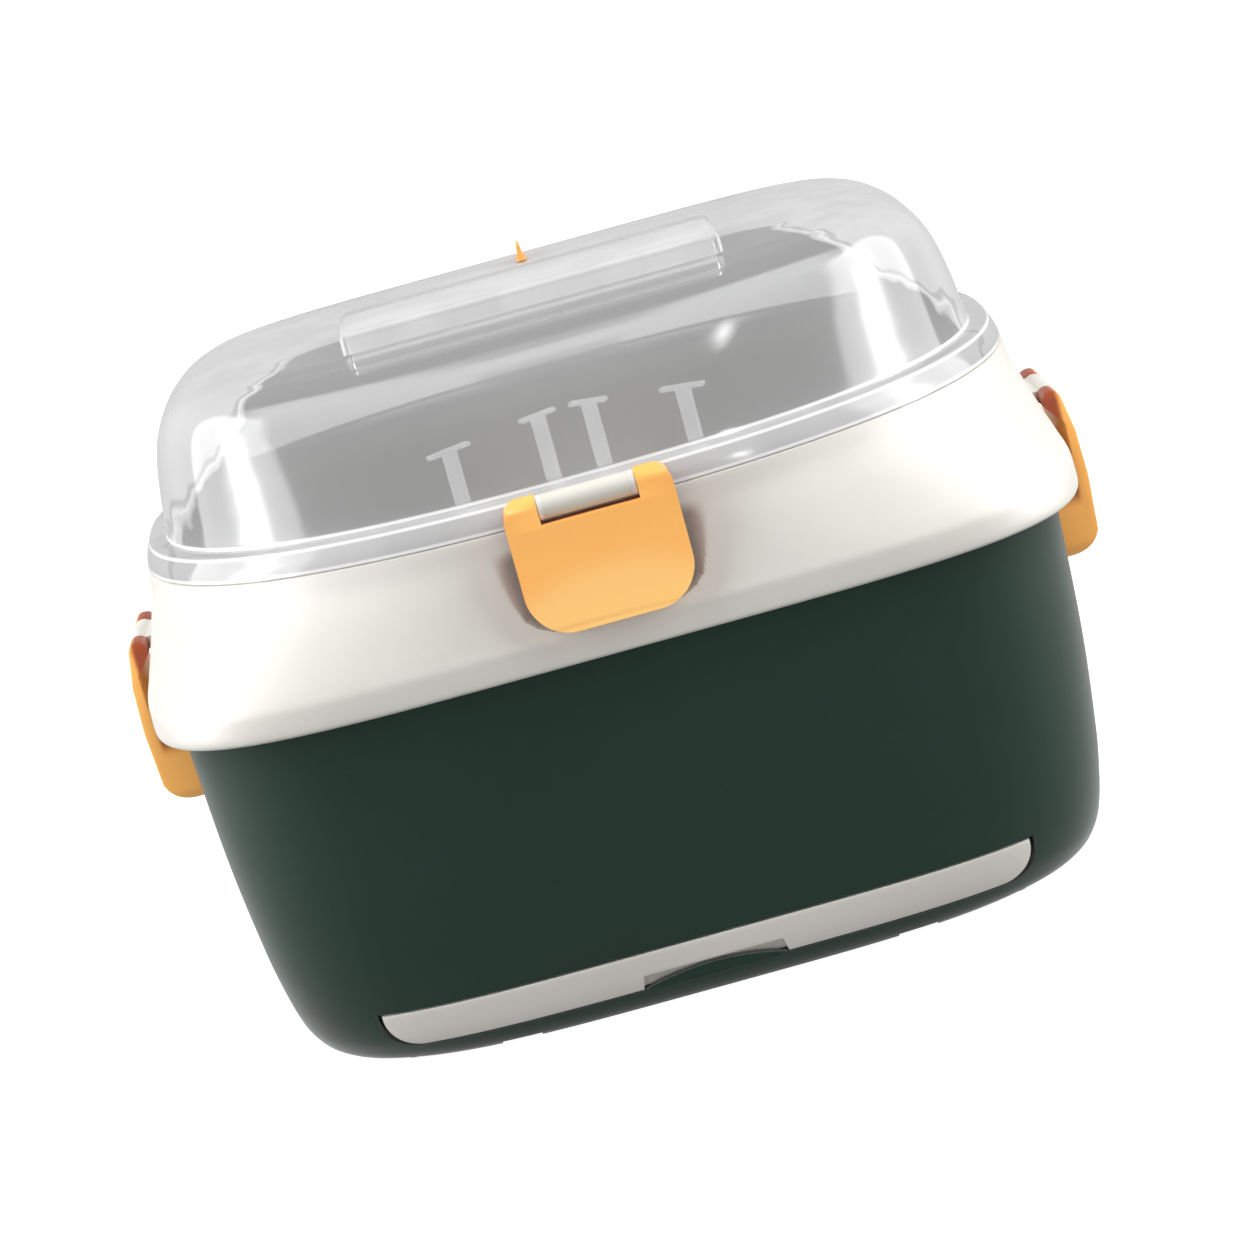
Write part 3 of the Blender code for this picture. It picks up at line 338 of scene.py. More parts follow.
# %% [markdown]
# Under the tub's floor lies a bay for the drawer, open through a slot in the front. The floor
# has drain slots, the underside is recessed behind a skirt with two low arches, and the small
# feet sit in pockets. All of it is cut away with boolean tools of the same sizes as in the CAD.
# Two things are joined on at each side: a catch, which the side latch hooks under, and a rib
# beside the tray, which guides it.

# %% Bay, slots, catches and pockets
DRAWER_HALF, DRAWER_Z, DRAWER_HEIGHT, DRAWER_CORNER = 0.1195, 0.0103, 0.0144, 0.0125
FACE_THICKNESS, FACE_CLEARANCE = 0.013, 0.0008
RECESS_IN, RECESS_ROOF = 0.012, 0.0027
DRAINS, DRAIN_LONG, DRAIN_HALF = (-0.044, -0.022, 0, 0.022, 0.044), 0.025, 0.002
CATCH_HALF, CATCH_LOW, CATCH_HIGH, CATCH_REACH = 0.016, 0.1020, 0.1060, 0.004
RIB_NEAR, RIB_FAR, RIB_HALF, RIB_LOW, RIB_HIGH = 0.1076, 0.1096, 0.06, 0.008, 0.0145
ARCH_X, ARCH_HALF, ARCH_LONG, ARCH_TOP = 0.0728, 0.0073, 0.12, 0.0024
POCKET_X, POCKET_Y, POCKET_RADIUS, POCKET_TOP, BELOW = 0.1112, 0.0732, 0.0051, 0.0033, -0.003


def face_outline(grow):
    """The drawer's face from the front: square top corners, round lower ones."""
    half, low, high = DRAWER_HALF + grow, DRAWER_Z - grow, DRAWER_Z + DRAWER_HEIGHT + grow
    radius = DRAWER_CORNER + grow
    return ([(half, high), (-half, high)] + arc((radius - half, low + radius), radius, 180, 270, 14)
            + arc((half - radius, low + radius), radius, 270, 360, 14))


def tub_front(z):
    """How far forward the tub's side stands at a height."""
    return tub_side(0, z)[0][1]


bay = tub_side(TUB_WALL, FLOOR_Z)[0]
cut(tub, raise_rings("bay", [(*bay[:3], FLOOR_Z), (*bay[:3], BAY_ROOF_Z)]))
FACE_BACK = tub_front(DRAWER_Z) - FACE_THICKNESS
cut(tub, slab("slot", face_outline(FACE_CLEARANCE), -TUB_HALF[1], -FACE_BACK))
under = tub_side(0)[0]
under = (under[0] - RECESS_IN, under[1] - RECESS_IN, under[2])
recess = [(*under, TUB_BASE_Z - PAST), (*under, FLOOR_Z - RECESS_ROOF)]
cut(tub, raise_rings("under", recess))
for y in DRAINS:
    drain = block("drain", (-DRAIN_LONG, y - DRAIN_HALF, TUB_FLOOR_Z - 0.007),
                  (DRAIN_LONG, y + DRAIN_HALF, TUB_FLOOR_Z + PAST), 0.0019)
    cut(tub, drain)
for side in (-1, 1):
    near, far = sorted((side * (TUB_HALF[0] - TUB_WALL), side * (TUB_HALF[0] + CATCH_REACH)))
    catch = block("catch", (near, -CATCH_HALF, CATCH_LOW), (far, CATCH_HALF, CATCH_HIGH), 0.0012)
    join(tub, catch)
    near, far = sorted((side * RIB_NEAR, side * RIB_FAR))
    join(tub, block("rib", (near, -RIB_HALF, RIB_LOW), (far, RIB_HALF, RIB_HIGH)))
    arch = block("arch", (side * ARCH_X - ARCH_HALF, -ARCH_LONG, BELOW),
                 (side * ARCH_X + ARCH_HALF, ARCH_LONG, ARCH_TOP))
    cut(tub, arch)
    for end in (-1, 1):
        place = (side * POCKET_X, end * POCKET_Y)
        pocket = bar("pocket", POCKET_RADIUS, (*place, BELOW), (*place, POCKET_TOP))
        cut(tub, pocket)
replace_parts(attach(smooth(settle(tub)), "base"), "tub")
print("tub:", len(tub.data.polygons), "faces")

# %% [markdown]
# ## The drip drawer
# The drawer's face is flush with the tub, so it is a thick slab trimmed by the tub's own side.
# It is a little narrower than its opening, which leaves a dark gap at each end. A pocket for the
# fingertips, narrower at its top, is cut 4 mm deep into the lower edge. The edges are softened
# before the tray is joined on behind, and a low green lip arches up in the pocket.

# %% Drawer
FACE_SHARE = 0.988
GRIP_HALF, GRIP_RISE, GRIP_DEPTH, GRIP_TAPER = 0.0272, 0.0056, 0.0040, 0.93
TRAY_LONG, TRAY_WALL, TRAY_CORNER = 0.168, 0.002, 0.00625
LIP_HALF, LIP_RISE, LIP_PROUD, LIP_BACK, LIP_STEPS = 0.0258, 0.0036, 0.0002, 0.0022, 16
narrowed = [(x * FACE_SHARE, z) for x, z in face_outline(0)]
drawer = slab("drawer_front", narrowed, -TUB_HALF[1], -FACE_BACK)
combine(drawer, raise_rings("side_copy", tub_side(0)), "INTERSECT")
pocket_face = tub_front(DRAWER_Z)
grip = block("grip", (-GRIP_HALF, -pocket_face - 2 * PAST, DRAWER_Z - PAST),
             (GRIP_HALF, GRIP_DEPTH - pocket_face, DRAWER_Z + GRIP_RISE))
take(grip)
edit()
shape = bmesh.from_edit_mesh(grip.data)
for vert in shape.verts:
    vert.select_set(vert.co.z > DRAWER_Z)
shape.select_flush_mode()
bmesh.update_edit_mesh(grip.data)
bpy.ops.transform.resize(value=(GRIP_TAPER, 1, 1), center_override=(0, 0, 0))
leave()
cut(drawer, grip)
soften(settle(drawer), 0.0005, 2, 40)
tray_half, tray_back = DRAWER_HALF - DRAWER_CORNER, TRAY_LONG - FACE_BACK
tray_top = DRAWER_Z + DRAWER_HEIGHT - TRAY_WALL
tray = block("tray", (-tray_half, -FACE_BACK - TRAY_WALL, FLOOR_Z + GAP),
             (tray_half, tray_back, tray_top), TRAY_CORNER)
room = block("room", (TRAY_WALL - tray_half, TRAY_WALL - FACE_BACK, FLOOR_Z + GAP + TRAY_WALL),
             (tray_half - TRAY_WALL, tray_back - TRAY_WALL, tray_top + PAST), TRAY_CORNER)
cut(tray, room)
join(drawer, tray)
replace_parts(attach(smooth(settle(drawer)), "drawer"), "drip_drawer")
crown = [(LIP_HALF, DRAWER_Z - GAP), (-LIP_HALF, DRAWER_Z - GAP)]
for step in range(1, LIP_STEPS):
    swell = math.sin(math.pi * step / LIP_STEPS) ** 0.8
    crown.append((-LIP_HALF + 2 * LIP_HALF * step / LIP_STEPS, DRAWER_Z - GAP + LIP_RISE * swell))
lip = slab("grip_lip", crown, -pocket_face - LIP_PROUD, LIP_BACK - pocket_face)
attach(smooth(settle(lip)), "drawer")
print("drawer:", len(drawer.data.polygons), "faces")

# %% [markdown]
# ## The collar
# The cream collar is a closed hoop of moulding: a rounded lower edge, an upright band, a soft
# crease, then a cone that leans in to a flat deck with a low lip. Its section is drawn once
# as rings that go up the outside, over the lip and down the inside.

# %% Collar hoop
COLLAR_HALF, COLLAR_LEAN = (0.170, 0.124), (0.0095, 0.0075)
COLLAR_Z, COLLAR_HEIGHT, COLLAR_WALL = SHOULDER_Z + GAP, 0.049, 0.003
EDGE_RADIUS, DECK_WIDTH, RIM_WALL, RIM_HEIGHT = 0.0015, 0.0125, 0.002, 0.0034
DECK_Z = COLLAR_Z + COLLAR_HEIGHT
COLLAR_ROWS = ((0.000, 4.7, 0.065), (0.000, 4.5, 0.184), (0.147, 4.2, 0.286), (0.337, 3.7, 0.408),
               (0.716, 3.0, 0.663), (0.968, 2.6, 0.867), (1.000, 2.45, 0.980))


def collar_side(inset, low=0.0, high=1.0, steps=5):
    rings = []
    for lean, squareness, share in ease(COLLAR_ROWS, steps):
        if low <= share <= high:
            rings.append((COLLAR_HALF[0] - lean * COLLAR_LEAN[0] - inset,
                          COLLAR_HALF[1] - lean * COLLAR_LEAN[1] - inset, squareness,
                          COLLAR_Z + share * COLLAR_HEIGHT))
    return rings


def collar_front(z):
    rings = collar_side(0)
    for low, high in zip(rings, rings[1:]):
        if z <= high[3]:
            break
    return low[1] + (high[1] - low[1]) * (z - low[3]) / (high[3] - low[3])


side = collar_side(0)
low, high = side[0], side[-1]
edge = []
for turn in (0, 0.4, 0.8, 1.2, math.pi / 2):
    inward = EDGE_RADIUS * (1 - math.sin(turn))
    edge.append((low[0] - inward, low[1] - inward, low[2],
                 COLLAR_Z + EDGE_RADIUS * (1 - math.cos(turn))))
top = [(high[0] - 0.0002, high[1] - 0.0002, high[2], DECK_Z - 0.0003),
       (high[0] - 0.0009, high[1] - 0.0009, high[2], DECK_Z)]
mouth = (high[0] - DECK_WIDTH, high[1] - DECK_WIDTH, high[2])
lip_in = (mouth[0] - RIM_WALL, mouth[1] - RIM_WALL, high[2])
inside = collar_side(COLLAR_WALL, 0.1, 0.9, 2)[::-1]
hole = (NECK[0] + GAP, NECK[1] + GAP, NECK[2])
rings = edge + side + top
rings += [(*mouth, DECK_Z), (*mouth, DECK_Z + RIM_HEIGHT), (*lip_in, DECK_Z + RIM_HEIGHT),
          (*lip_in, DECK_Z - COLLAR_WALL), (*inside[0][:3], DECK_Z - COLLAR_WALL)]
rings += inside + [(*inside[-1][:3], COLLAR_Z + COLLAR_WALL), (*hole, COLLAR_Z + COLLAR_WALL),
                   (*hole, COLLAR_Z)]
collar = raise_rings("collar_hoop", rings, closed=True)
print("collar:", len(rings), "rings")

# %% [markdown]
# Behind the front latch the collar is hollowed for the fingers. On the real moulding the
# hollow has soft sides that fade upwards into the cone, which a straight cut can't give. So a
# backing is joined on inside, the skin over it is subdivided, and its points are pushed in
# with a falloff: narrow and crisp below, wide and soft above.

# %% Scoop
SCOOP_HEIGHT = 0.031
SCOOP_TOP = DECK_Z - 2 * COLLAR_WALL
SCOOP_LOW = SCOOP_TOP - SCOOP_HEIGHT
BACK_TOP, BACK_LOW = 0.1135, 0.1163
BACKING_HALF, BACKING, UNDER_SKIN, END_ROOM = 0.0401, 0.0028, 0.0021, 0.0015
heights = [COLLAR_Z + END_ROOM] + [ring[3] for ring in collar_side(0, 0.2, 0.9, 2)]
heights += [DECK_Z - END_ROOM]
outline = [(-(collar_front(z) - UNDER_SKIN), z) for z in heights]
outline += [(-(BACK_TOP - BACKING), DECK_Z - END_ROOM), (-(BACK_LOW - BACKING), COLLAR_Z + END_ROOM)]
join(collar, slab("backing", outline, -BACKING_HALF, BACKING_HALF, "X"))
SCOOP_ROWS = ((0.0000, 0.0175), (0.0012, 0.0215), (0.0034, 0.0262), (0.0065, 0.0296), (0.0125, 0.0312),
              (0.0210, 0.0322), (0.0310, 0.0328))


def soft_step(value):
    value = min(max(value, 0.0), 1.0)
    return value * value * (3 - 2 * value)


def scoop_share(x, z):
    """How far the skin is pushed in: 0 on the collar's face, 1 at the back of the scoop."""
    rise = z - SCOOP_LOW
    if rise <= 0 or z >= SCOOP_TOP:
        return 0.0
    for (low_rise, low_half), (high_rise, high_half) in zip(SCOOP_ROWS, SCOOP_ROWS[1:]):
        if rise <= high_rise:
            break
    half = low_half + (high_half - low_half) * (rise - low_rise) / (high_rise - low_rise)
    softness = 0.0022 + 0.0075 * soft_step(rise / SCOOP_HEIGHT)
    sides = soft_step((half + softness / 2 - abs(x)) / softness)
    return sides * soft_step(rise / 0.0022) * soft_step((SCOOP_TOP - z) / 0.007)


take(collar)
edit("DESELECT")
bpy.ops.mesh.select_mode(type="FACE")
shape = bmesh.from_edit_mesh(collar.data)
for face in shape.faces:
    middle = face.calc_center_median()
    face.select_set(abs(middle.x) < 0.052 and middle.y < -0.1145 and face.normal.y < -0.5
                    and SCOOP_LOW - PAST < middle.z < SCOOP_TOP + PAST)
bmesh.update_edit_mesh(collar.data)
bpy.ops.mesh.subdivide(number_cuts=6)
shape = bmesh.from_edit_mesh(collar.data)
pushed = 0
for vert in shape.verts:
    if vert.select:
        share = scoop_share(vert.co.x, vert.co.z)
        back = BACK_LOW + (BACK_TOP - BACK_LOW) * (vert.co.z - SCOOP_LOW) / SCOOP_HEIGHT
        vert.co.y = -(abs(vert.co.y) * (1 - share) + back * share)
        pushed += share > 0
bmesh.update_edit_mesh(collar.data)
bpy.ops.mesh.select_mode(type="VERT")
leave()
print("scoop:", pushed, "points pushed in")

# %% [markdown]
# The scoop's ridge holds the front latch down. At the sides, knuckles on webs carry the side
# latches, and at the back two ears carry the lid's hinge pin. All are joined on with unions.

# %% Ridge, knuckles and ears
HOOK_HEIGHT, BORE = 0.0025, 0.0015
KNUCKLE, KNUCKLE_HALF, WEB_HALF, EAR, EAR_DROP = 0.0033, 0.0125, 0.0023, 0.0042, 0.020
ridge_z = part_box("front_latch")[0].z + HOOK_HEIGHT * 2 + GAP
ridge = block("ridge", (-0.020, -0.1187, ridge_z), (0.020, -0.1149, ridge_z + HOOK_HEIGHT), 0.001, 3)
join(collar, ridge)
for facing, word in ((-1, "left"), (1, "right")):
    pin_low, pin_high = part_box(f"{word}_latch_pin")
    x, z = (pin_low.x + pin_high.x) / 2, (pin_low.z + pin_high.z) / 2
    join(collar, bar("knuckle", KNUCKLE, (x, -KNUCKLE_HALF, z), (x, KNUCKLE_HALF, z)))
    near, far = sorted((facing * 0.159, x - facing * 0.0011))
    web = block("web", (near, -KNUCKLE_HALF, z - WEB_HALF), (far, KNUCKLE_HALF, z + WEB_HALF))
    join(collar, web)
    cut(collar, bar("bore", BORE, (x, -2 * KNUCKLE_HALF, z), (x, 2 * KNUCKLE_HALF, z)))
pin_low, pin_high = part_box("hinge_pin")
HINGE = ((pin_low.y + pin_high.y) / 2, (pin_low.z + pin_high.z) / 2)
ear_low = HINGE[1] - EAR_DROP
ear_root = collar_front(ear_low) - UNDER_SKIN
ear = [(ear_root, ear_low), (collar_front(ear_low) - 0.0009, ear_low)] + arc(HINGE, EAR, 0, 180, 20)
ear += [(HINGE[0] - EAR, DECK_Z - END_ROOM), (ear_root, DECK_Z - COLLAR_WALL)]
for low_x, high_x in ((-0.0298, -0.0198), (0.0198, 0.0298)):
    join(collar, slab("ear", ear, low_x, high_x, "X"))
cut(collar, bar("bore", BORE, (-0.034, *HINGE), (0.034, *HINGE)))
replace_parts(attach(smooth(settle(collar), 28), "collar"), "collar")
print("collar:", len(collar.data.polygons), "faces")

# %% [markdown]
# ## The clear lid
# The lid is clear plastic 2.2 mm thick. Its skirt stands on the collar, a narrow ledge leads to
# the dome, and a raised panel crosses the top. It has real inner and outer faces, so that what
# lies inside is seen through both, and each mirrors the lights in its own place.

# %% Lid shell
LID_Z, LID_WALL = DECK_Z + GAP, 0.0022
LUG, LUG_HALF, REAR_LUG_HALF, VENT, VENT_Y = 0.0044, 0.0168, 0.0195, 0.0020, 0.046
PANEL_HALF, PANEL_FRONT, PANEL_BACK, PANEL_DOWN, PANEL_UP = 0.068, -0.062, -0.013, 0.0118, 0.0078
FLANGE_HALF, FLANGE_TOP = (0.160, 0.116), DECK_Z + GAP + 0.0085
UPPER = (FLANGE_HALF[0] - 0.0025, FLANGE_HALF[1] - 0.0032)
DOME_HALF, DOME_TOP_HALF, DOME_HEIGHT = (0.151, 0.1063), (0.111, 0.063), 0.0527
DOME_ROWS = ((0.000, 2.45, 0.000), (0.014, 2.45, 0.036), (0.066, 2.5, 0.290), (0.113, 2.6, 0.470),
             (0.183, 2.8, 0.640), (0.296, 3.2, 0.790), (0.460, 3.9, 0.895), (0.680, 4.8, 0.960),
             (1.000, 6.0, 1.000))
DOME_TOP = FLANGE_TOP + DOME_HEIGHT


def dome_side(inset):
    return [(DOME_HALF[0] - lean * (DOME_HALF[0] - DOME_TOP_HALF[0]) - inset,
             DOME_HALF[1] - lean * (DOME_HALF[1] - DOME_TOP_HALF[1]) - inset, squareness,
             FLANGE_TOP + share * DOME_HEIGHT) for lean, squareness, share in ease(DOME_ROWS, 5)]


def panel(name, inset):
    """The raised panel across the top, rounded all over."""
    return block(name, (-PANEL_HALF + inset, PANEL_FRONT + inset, DOME_TOP - PANEL_DOWN),
                 (PANEL_HALF - inset, PANEL_BACK - inset, DOME_TOP + PANEL_UP - inset),
                 LID_WALL - inset / 2, 4, False)


skirt = [(*FLANGE_HALF, 2.45, LID_Z),
         (FLANGE_HALF[0] - 0.0003, FLANGE_HALF[1] - 0.0004, 2.45, LID_Z + 0.0020),
         (FLANGE_HALF[0] - 0.0012, FLANGE_HALF[1] - 0.0015, 2.45, LID_Z + 0.0048),
         (UPPER[0] + 0.0001, UPPER[1] + 0.0001, 2.45, FLANGE_TOP - 0.0012),
         (UPPER[0] - 0.0003, UPPER[1] - 0.0003, 2.45, FLANGE_TOP - 0.0004),
         (UPPER[0] - 0.0010, UPPER[1] - 0.0010, 2.45, FLANGE_TOP)]
lid = raise_rings("lid_shell", skirt + dome_side(0))
join(lid, panel("panel", 0))
channel = (UPPER[0] - LID_WALL, UPPER[1] - LID_WALL, 2.45)
inner = (*DOME_HALF, 2.45)
ceiling = FLANGE_TOP - LID_WALL
channel_rings = [(*channel, LID_Z - PAST), (*channel, ceiling), (*inner, ceiling), (*inner, LID_Z - PAST)]
cut(lid, raise_rings("channel", channel_rings, closed=True))
walls = dome_side(LID_WALL)
under_dome = [(*walls[0][:3], LID_Z - PAST)]
for ring in walls:
    rise = (ring[3] - FLANGE_TOP) / DOME_HEIGHT
    under_dome.append((*ring[:3], ring[3] - LID_WALL * rise ** 2))
cut(lid, raise_rings("under_dome", under_dome))
cut(lid, panel("under_panel", LID_WALL))
PIVOT = (-0.1203, HINGE[1])
for facing, pivot_y, radius, half in ((-1, PIVOT[0], LUG, LUG_HALF), (1, HINGE[0], EAR, REAR_LUG_HALF)):
    wall_y = facing * (UPPER[1] - 0.0011)
    outline = [(wall_y, HINGE[1] + radius * 0.55)]
    outline += arc((pivot_y, HINGE[1]), radius, 90, 90 - facing * 180, 24) + [(wall_y, LID_Z + 0.0015)]
    lug = slab("lug", outline, -half, half, "X")
    bore = bar("bore", BORE, (-half - PAST, pivot_y, HINGE[1]), (half + PAST, pivot_y, HINGE[1]))
    cut(lug, bore)
    join(lid, lug)
vent = bar("vent", VENT, (0, VENT_Y, DOME_TOP - 0.006), (0, VENT_Y, DOME_TOP + PAST))
cut(lid, vent)
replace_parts(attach(smooth(settle(lid), 40), "lid"), "lid")
print("lid:", len(lid.data.polygons), "faces")

# %% [markdown]
# ## The front latch
# The flap hangs from the lid's lug. Seen from the side, it is a hook: a round head, a face
# that stays upright at first and swings out lower down, and a lip that snaps under the ridge.
# That profile is pushed to the latch's width and trimmed by its outline from the front.

# %% Front latch
LATCH_HALF, LATCH_DROP, LATCH_FLARE, LATCH_WALL, HEAD = 0.0291, 0.0424, 0.0034, 0.004, 0.0050
HOOK_REACH, TRIM, TOP_CORNER, LOW_CORNER, NOTCH_HALF = 0.003, 0.002, 0.008, 0.015, 0.0171
latch_bottom = HINGE[1] - LATCH_DROP


def latch_face(drop):
    """Distance from the middle to the latch's inner face, at a drop below its pivot."""
    return -PIVOT[0] + HEAD - LATCH_WALL + LATCH_FLARE * min(drop / LATCH_DROP, 1) ** 2.3


drops = [LATCH_DROP * (0.14 + 0.86 * step / 20) for step in range(20)]
hook_z = latch_bottom + HOOK_HEIGHT
profile = [(-u, v) for u, v in arc((-PIVOT[0], HINGE[1]), HEAD, 0, 200, 28)]
profile += [(-latch_face(drop), HINGE[1] - drop) for drop in drops if drop < LATCH_DROP - 0.0053]
tip = -latch_face(LATCH_DROP)
profile += [(tip, hook_z + HOOK_HEIGHT), (HOOK_REACH + tip, hook_z + HOOK_HEIGHT),
            (HOOK_REACH + tip, hook_z), (tip, latch_bottom),
            (tip, latch_bottom - TRIM), (tip - LATCH_WALL, latch_bottom - TRIM)]
profile += [(-latch_face(drop) - LATCH_WALL, HINGE[1] - drop) for drop in [LATCH_DROP] + drops[::-1]]
front_latch = slab("front_flap", profile, -LATCH_HALF - TRIM, LATCH_HALF + TRIM, "X")
top = HINGE[1] + HEAD + GAP
corners = arc((LATCH_HALF - TOP_CORNER, top - TOP_CORNER), TOP_CORNER, 0, 90, 14)
corners += arc((TOP_CORNER - LATCH_HALF, top - TOP_CORNER), TOP_CORNER, 90, 180, 14)
corners += arc((LOW_CORNER - LATCH_HALF, latch_bottom + LOW_CORNER), LOW_CORNER, 180, 270, 18)
corners += arc((LATCH_HALF - LOW_CORNER, latch_bottom + LOW_CORNER), LOW_CORNER, 270, 360, 18)
combine(front_latch, slab("outline", corners, -0.16, -0.10), "INTERSECT")
notch = block("notch", (-NOTCH_HALF, -0.135, HINGE[1] - HEAD), (NOTCH_HALF, -0.110, top + PAST))
cut(front_latch, notch)
soften(settle(front_latch), 0.0010, 3, 40)
cut(front_latch, bar("bore", BORE, (-0.0264, *PIVOT), (0.0264, *PIVOT)))
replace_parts(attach(smooth(settle(front_latch), 40), "front_latch"), "front_latch")
print("front latch:", len(front_latch.data.polygons), "faces")

# %% [markdown]
# ## The small pieces
# The side latches, the posts, the rack and the plug have their true shapes in the CAD already,
# but with knife-sharp edges, and a real moulding never has those. A copy of each is welded from
# its loose triangles, its flat faces are dissolved back to single faces, and all edges get a
# small radius.

# %% Softened copies


def softened(node, name, body, slot_name, radius):
    """A copy of a CAD node with rounded edges, in the node's place."""
    deselect()
    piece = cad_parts[node].copy()
    piece.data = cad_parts[node].data.copy()
    for key in list(piece.keys()):
        del piece[key]
    piece.parent = None
    bpy.context.scene.collection.objects.link(piece)
    take(piece)
    named(name)
    piece.data.materials.clear()
    if piece.data.has_custom_normals:
        bpy.ops.mesh.customdata_custom_splitnormals_clear()
    edit()
    bpy.ops.mesh.remove_doubles(threshold=0.00001)
    bpy.ops.mesh.dissolve_limited(angle_limit=math.radians(2))
    leave()
    soften(piece, radius, 3, 30)
    smooth(piece, 40)
    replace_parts(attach(piece, body), node)
    return piece


COPIES = (("left_latch", "left_flap", "left_latch", "orange_plastic", 0.0010),
          ("right_latch", "right_flap", "right_latch", "orange_plastic", 0.0010),
          ("left_bottle_posts", "left_post_pair", "left_posts", "white_plastic", 0.0005),
          ("right_bottle_posts", "right_post_pair", "right_posts", "white_plastic", 0.0005),
          ("drain_rack", "rack_tray", "rack", "cream_plastic", 0.0005),
          ("vent_plug", "vent_fin", "plug", "plug_silicone", 0.0004))
left_latch, right_latch, left_posts, right_posts, rack, plug = [softened(*row) for row in COPIES]
print("softened:", [row[1] for row in COPIES])

# %% [markdown]
# ## Finishes
# A finish is a sum: a base colour, plus a little of this noise, minus a little of that mask.
# The class below wraps a shader socket so that such sums are written as sums, and each sum
# adds its Math node. Any other node comes from the method that takes its type, its settings
# and the values or links of its sockets.

# %% Shader sums


class Wire:
    """A shader socket that can stand in a sum."""

    def __init__(self, socket):
        self.socket = socket

    @staticmethod
    def node(tree, kind, settings=None, sockets=None, output=0):
        made = tree.nodes.new(kind)
        for key, value in (settings or {}).items():
            if key == "stops":
                ramp = made.color_ramp
                while len(ramp.elements) < len(value):
                    ramp.elements.new(0.5)
                for element, (place, tone) in zip(ramp.elements, value):
                    element.position = place
                    element.color = (tone, tone, tone, 1)
            else:
                setattr(made, key, value)
        for key, value in (sockets or {}).items():
            if isinstance(value, Wire):
                tree.links.new(value.socket, made.inputs[key])
            else:
                made.inputs[key].default_value = value
        return Wire(made.outputs[output])

    def sum_with(self, operation, first, second):
        return Wire.node(self.socket.id_data, "ShaderNodeMath", {"operation": operation},
                         {0: first, 1: second})

    def __add__(self, other):
        return self.sum_with("ADD", self, other)

    def __sub__(self, other):
        return self.sum_with("SUBTRACT", self, other)

    def __rsub__(self, other):
        return self.sum_with("SUBTRACT", other, self)

    def __mul__(self, other):
        return self.sum_with("MULTIPLY", self, other)

    def __truediv__(self, other):
        return self.sum_with("DIVIDE", self, other)

    def __rtruediv__(self, other):
        return self.sum_with("DIVIDE", other, self)

    __radd__ = __add__
    __rmul__ = __mul__


def finish(name, **constants):
    """A new material with its shader, the constants set on the shader's own sockets."""
    material = bpy.data.materials.new(name)
    material.use_nodes = True
    shader = material.node_tree.nodes["Principled BSDF"]
    for key, value in constants.items():
        shader.inputs[key.replace("_", " ")].default_value = value
    return material, material.node_tree, shader


def feed(tree, shader, **wires):
    for key, wire in wires.items():
        tree.links.new(wire.socket, shader.inputs[key.replace("_", " ")])


def place_in(tree):
    return Wire.node(tree, "ShaderNodeTexCoord", output=3)


def noise(tree, scale, detail, rough, where=None):
    return Wire.node(tree, "ShaderNodeTexNoise", {"noise_dimensions": "3D"},
                     {"Vector": where or place_in(tree), "Scale": scale, "Detail": detail,
                      "Roughness": rough})


def blend_colours(tree, amount, first, second):
    return Wire.node(tree, "ShaderNodeMix", {"data_type": "RGBA"},
                     {0: amount, 6: first, 7: second}, output=2)


def step_between(tree, value, low, high):
    """0 below low, 1 above high, and smooth between."""
    return Wire.node(tree, "ShaderNodeMapRange", {"interpolation_type": "SMOOTHSTEP"},
                     {"Value": value, "From Min": low, "From Max": high})


def bump(tree, height, strength, distance):
    return Wire.node(tree, "ShaderNodeBump", {},
                     {"Strength": strength, "Distance": distance, "Height": height})


print("shader sums ready")

# %% [markdown]
# Moulded plastic has three scales of detail. The steel mould is spark-eroded, which leaves a
# grain finer than a millimetre; the melt cools unevenly, which gives faint broad clouds in
# colour and sheen; and handling leaves short scuffs that are rougher than the rest. One recipe
# with these three serves all the opaque mouldings, and the two numbers after the roughness are
# the strengths of the grain and of the scuffs. The posts get a painted glow, because the smoked
# lid would otherwise swallow the light that they get.

# %% Moulded plastic


def moulded(name, deep, light, roughness, grain, scuff, **constants):
    material, tree, shader = finish(name, **constants)
    clouds = noise(tree, 9.0, 3.0, 0.55)
    fine = noise(tree, 1400.0, 2.0, 0.6)
    middle = noise(tree, 260.0, 3.0, 0.5)
    stretched = Wire.node(tree, "ShaderNodeMapping", {},
                          {"Vector": place_in(tree), "Scale": (1.0, 1.0, 7.0)})
    rubs = step_between(tree, noise(tree, 60.0, 6.0, 0.75, stretched), 0.60, 0.78)
    tone = step_between(tree, clouds * 0.85 + middle * 0.15, 0.30, 0.70)
    colour = blend_colours(tree, tone, (*deep, 1), (*light, 1))
    colour = blend_colours(tree, rubs * (0.10 * scuff), colour, (0.9, 0.9, 0.88, 1))
    feed(tree, shader, Base_Color=colour,
         Roughness=(clouds - 0.5) * 0.10 + (fine - 0.5) * 0.06 + rubs * (0.20 * scuff) + roughness,
         Normal=bump(tree, fine * 0.6 + middle * 0.4, grain, 0.0002))
    return material


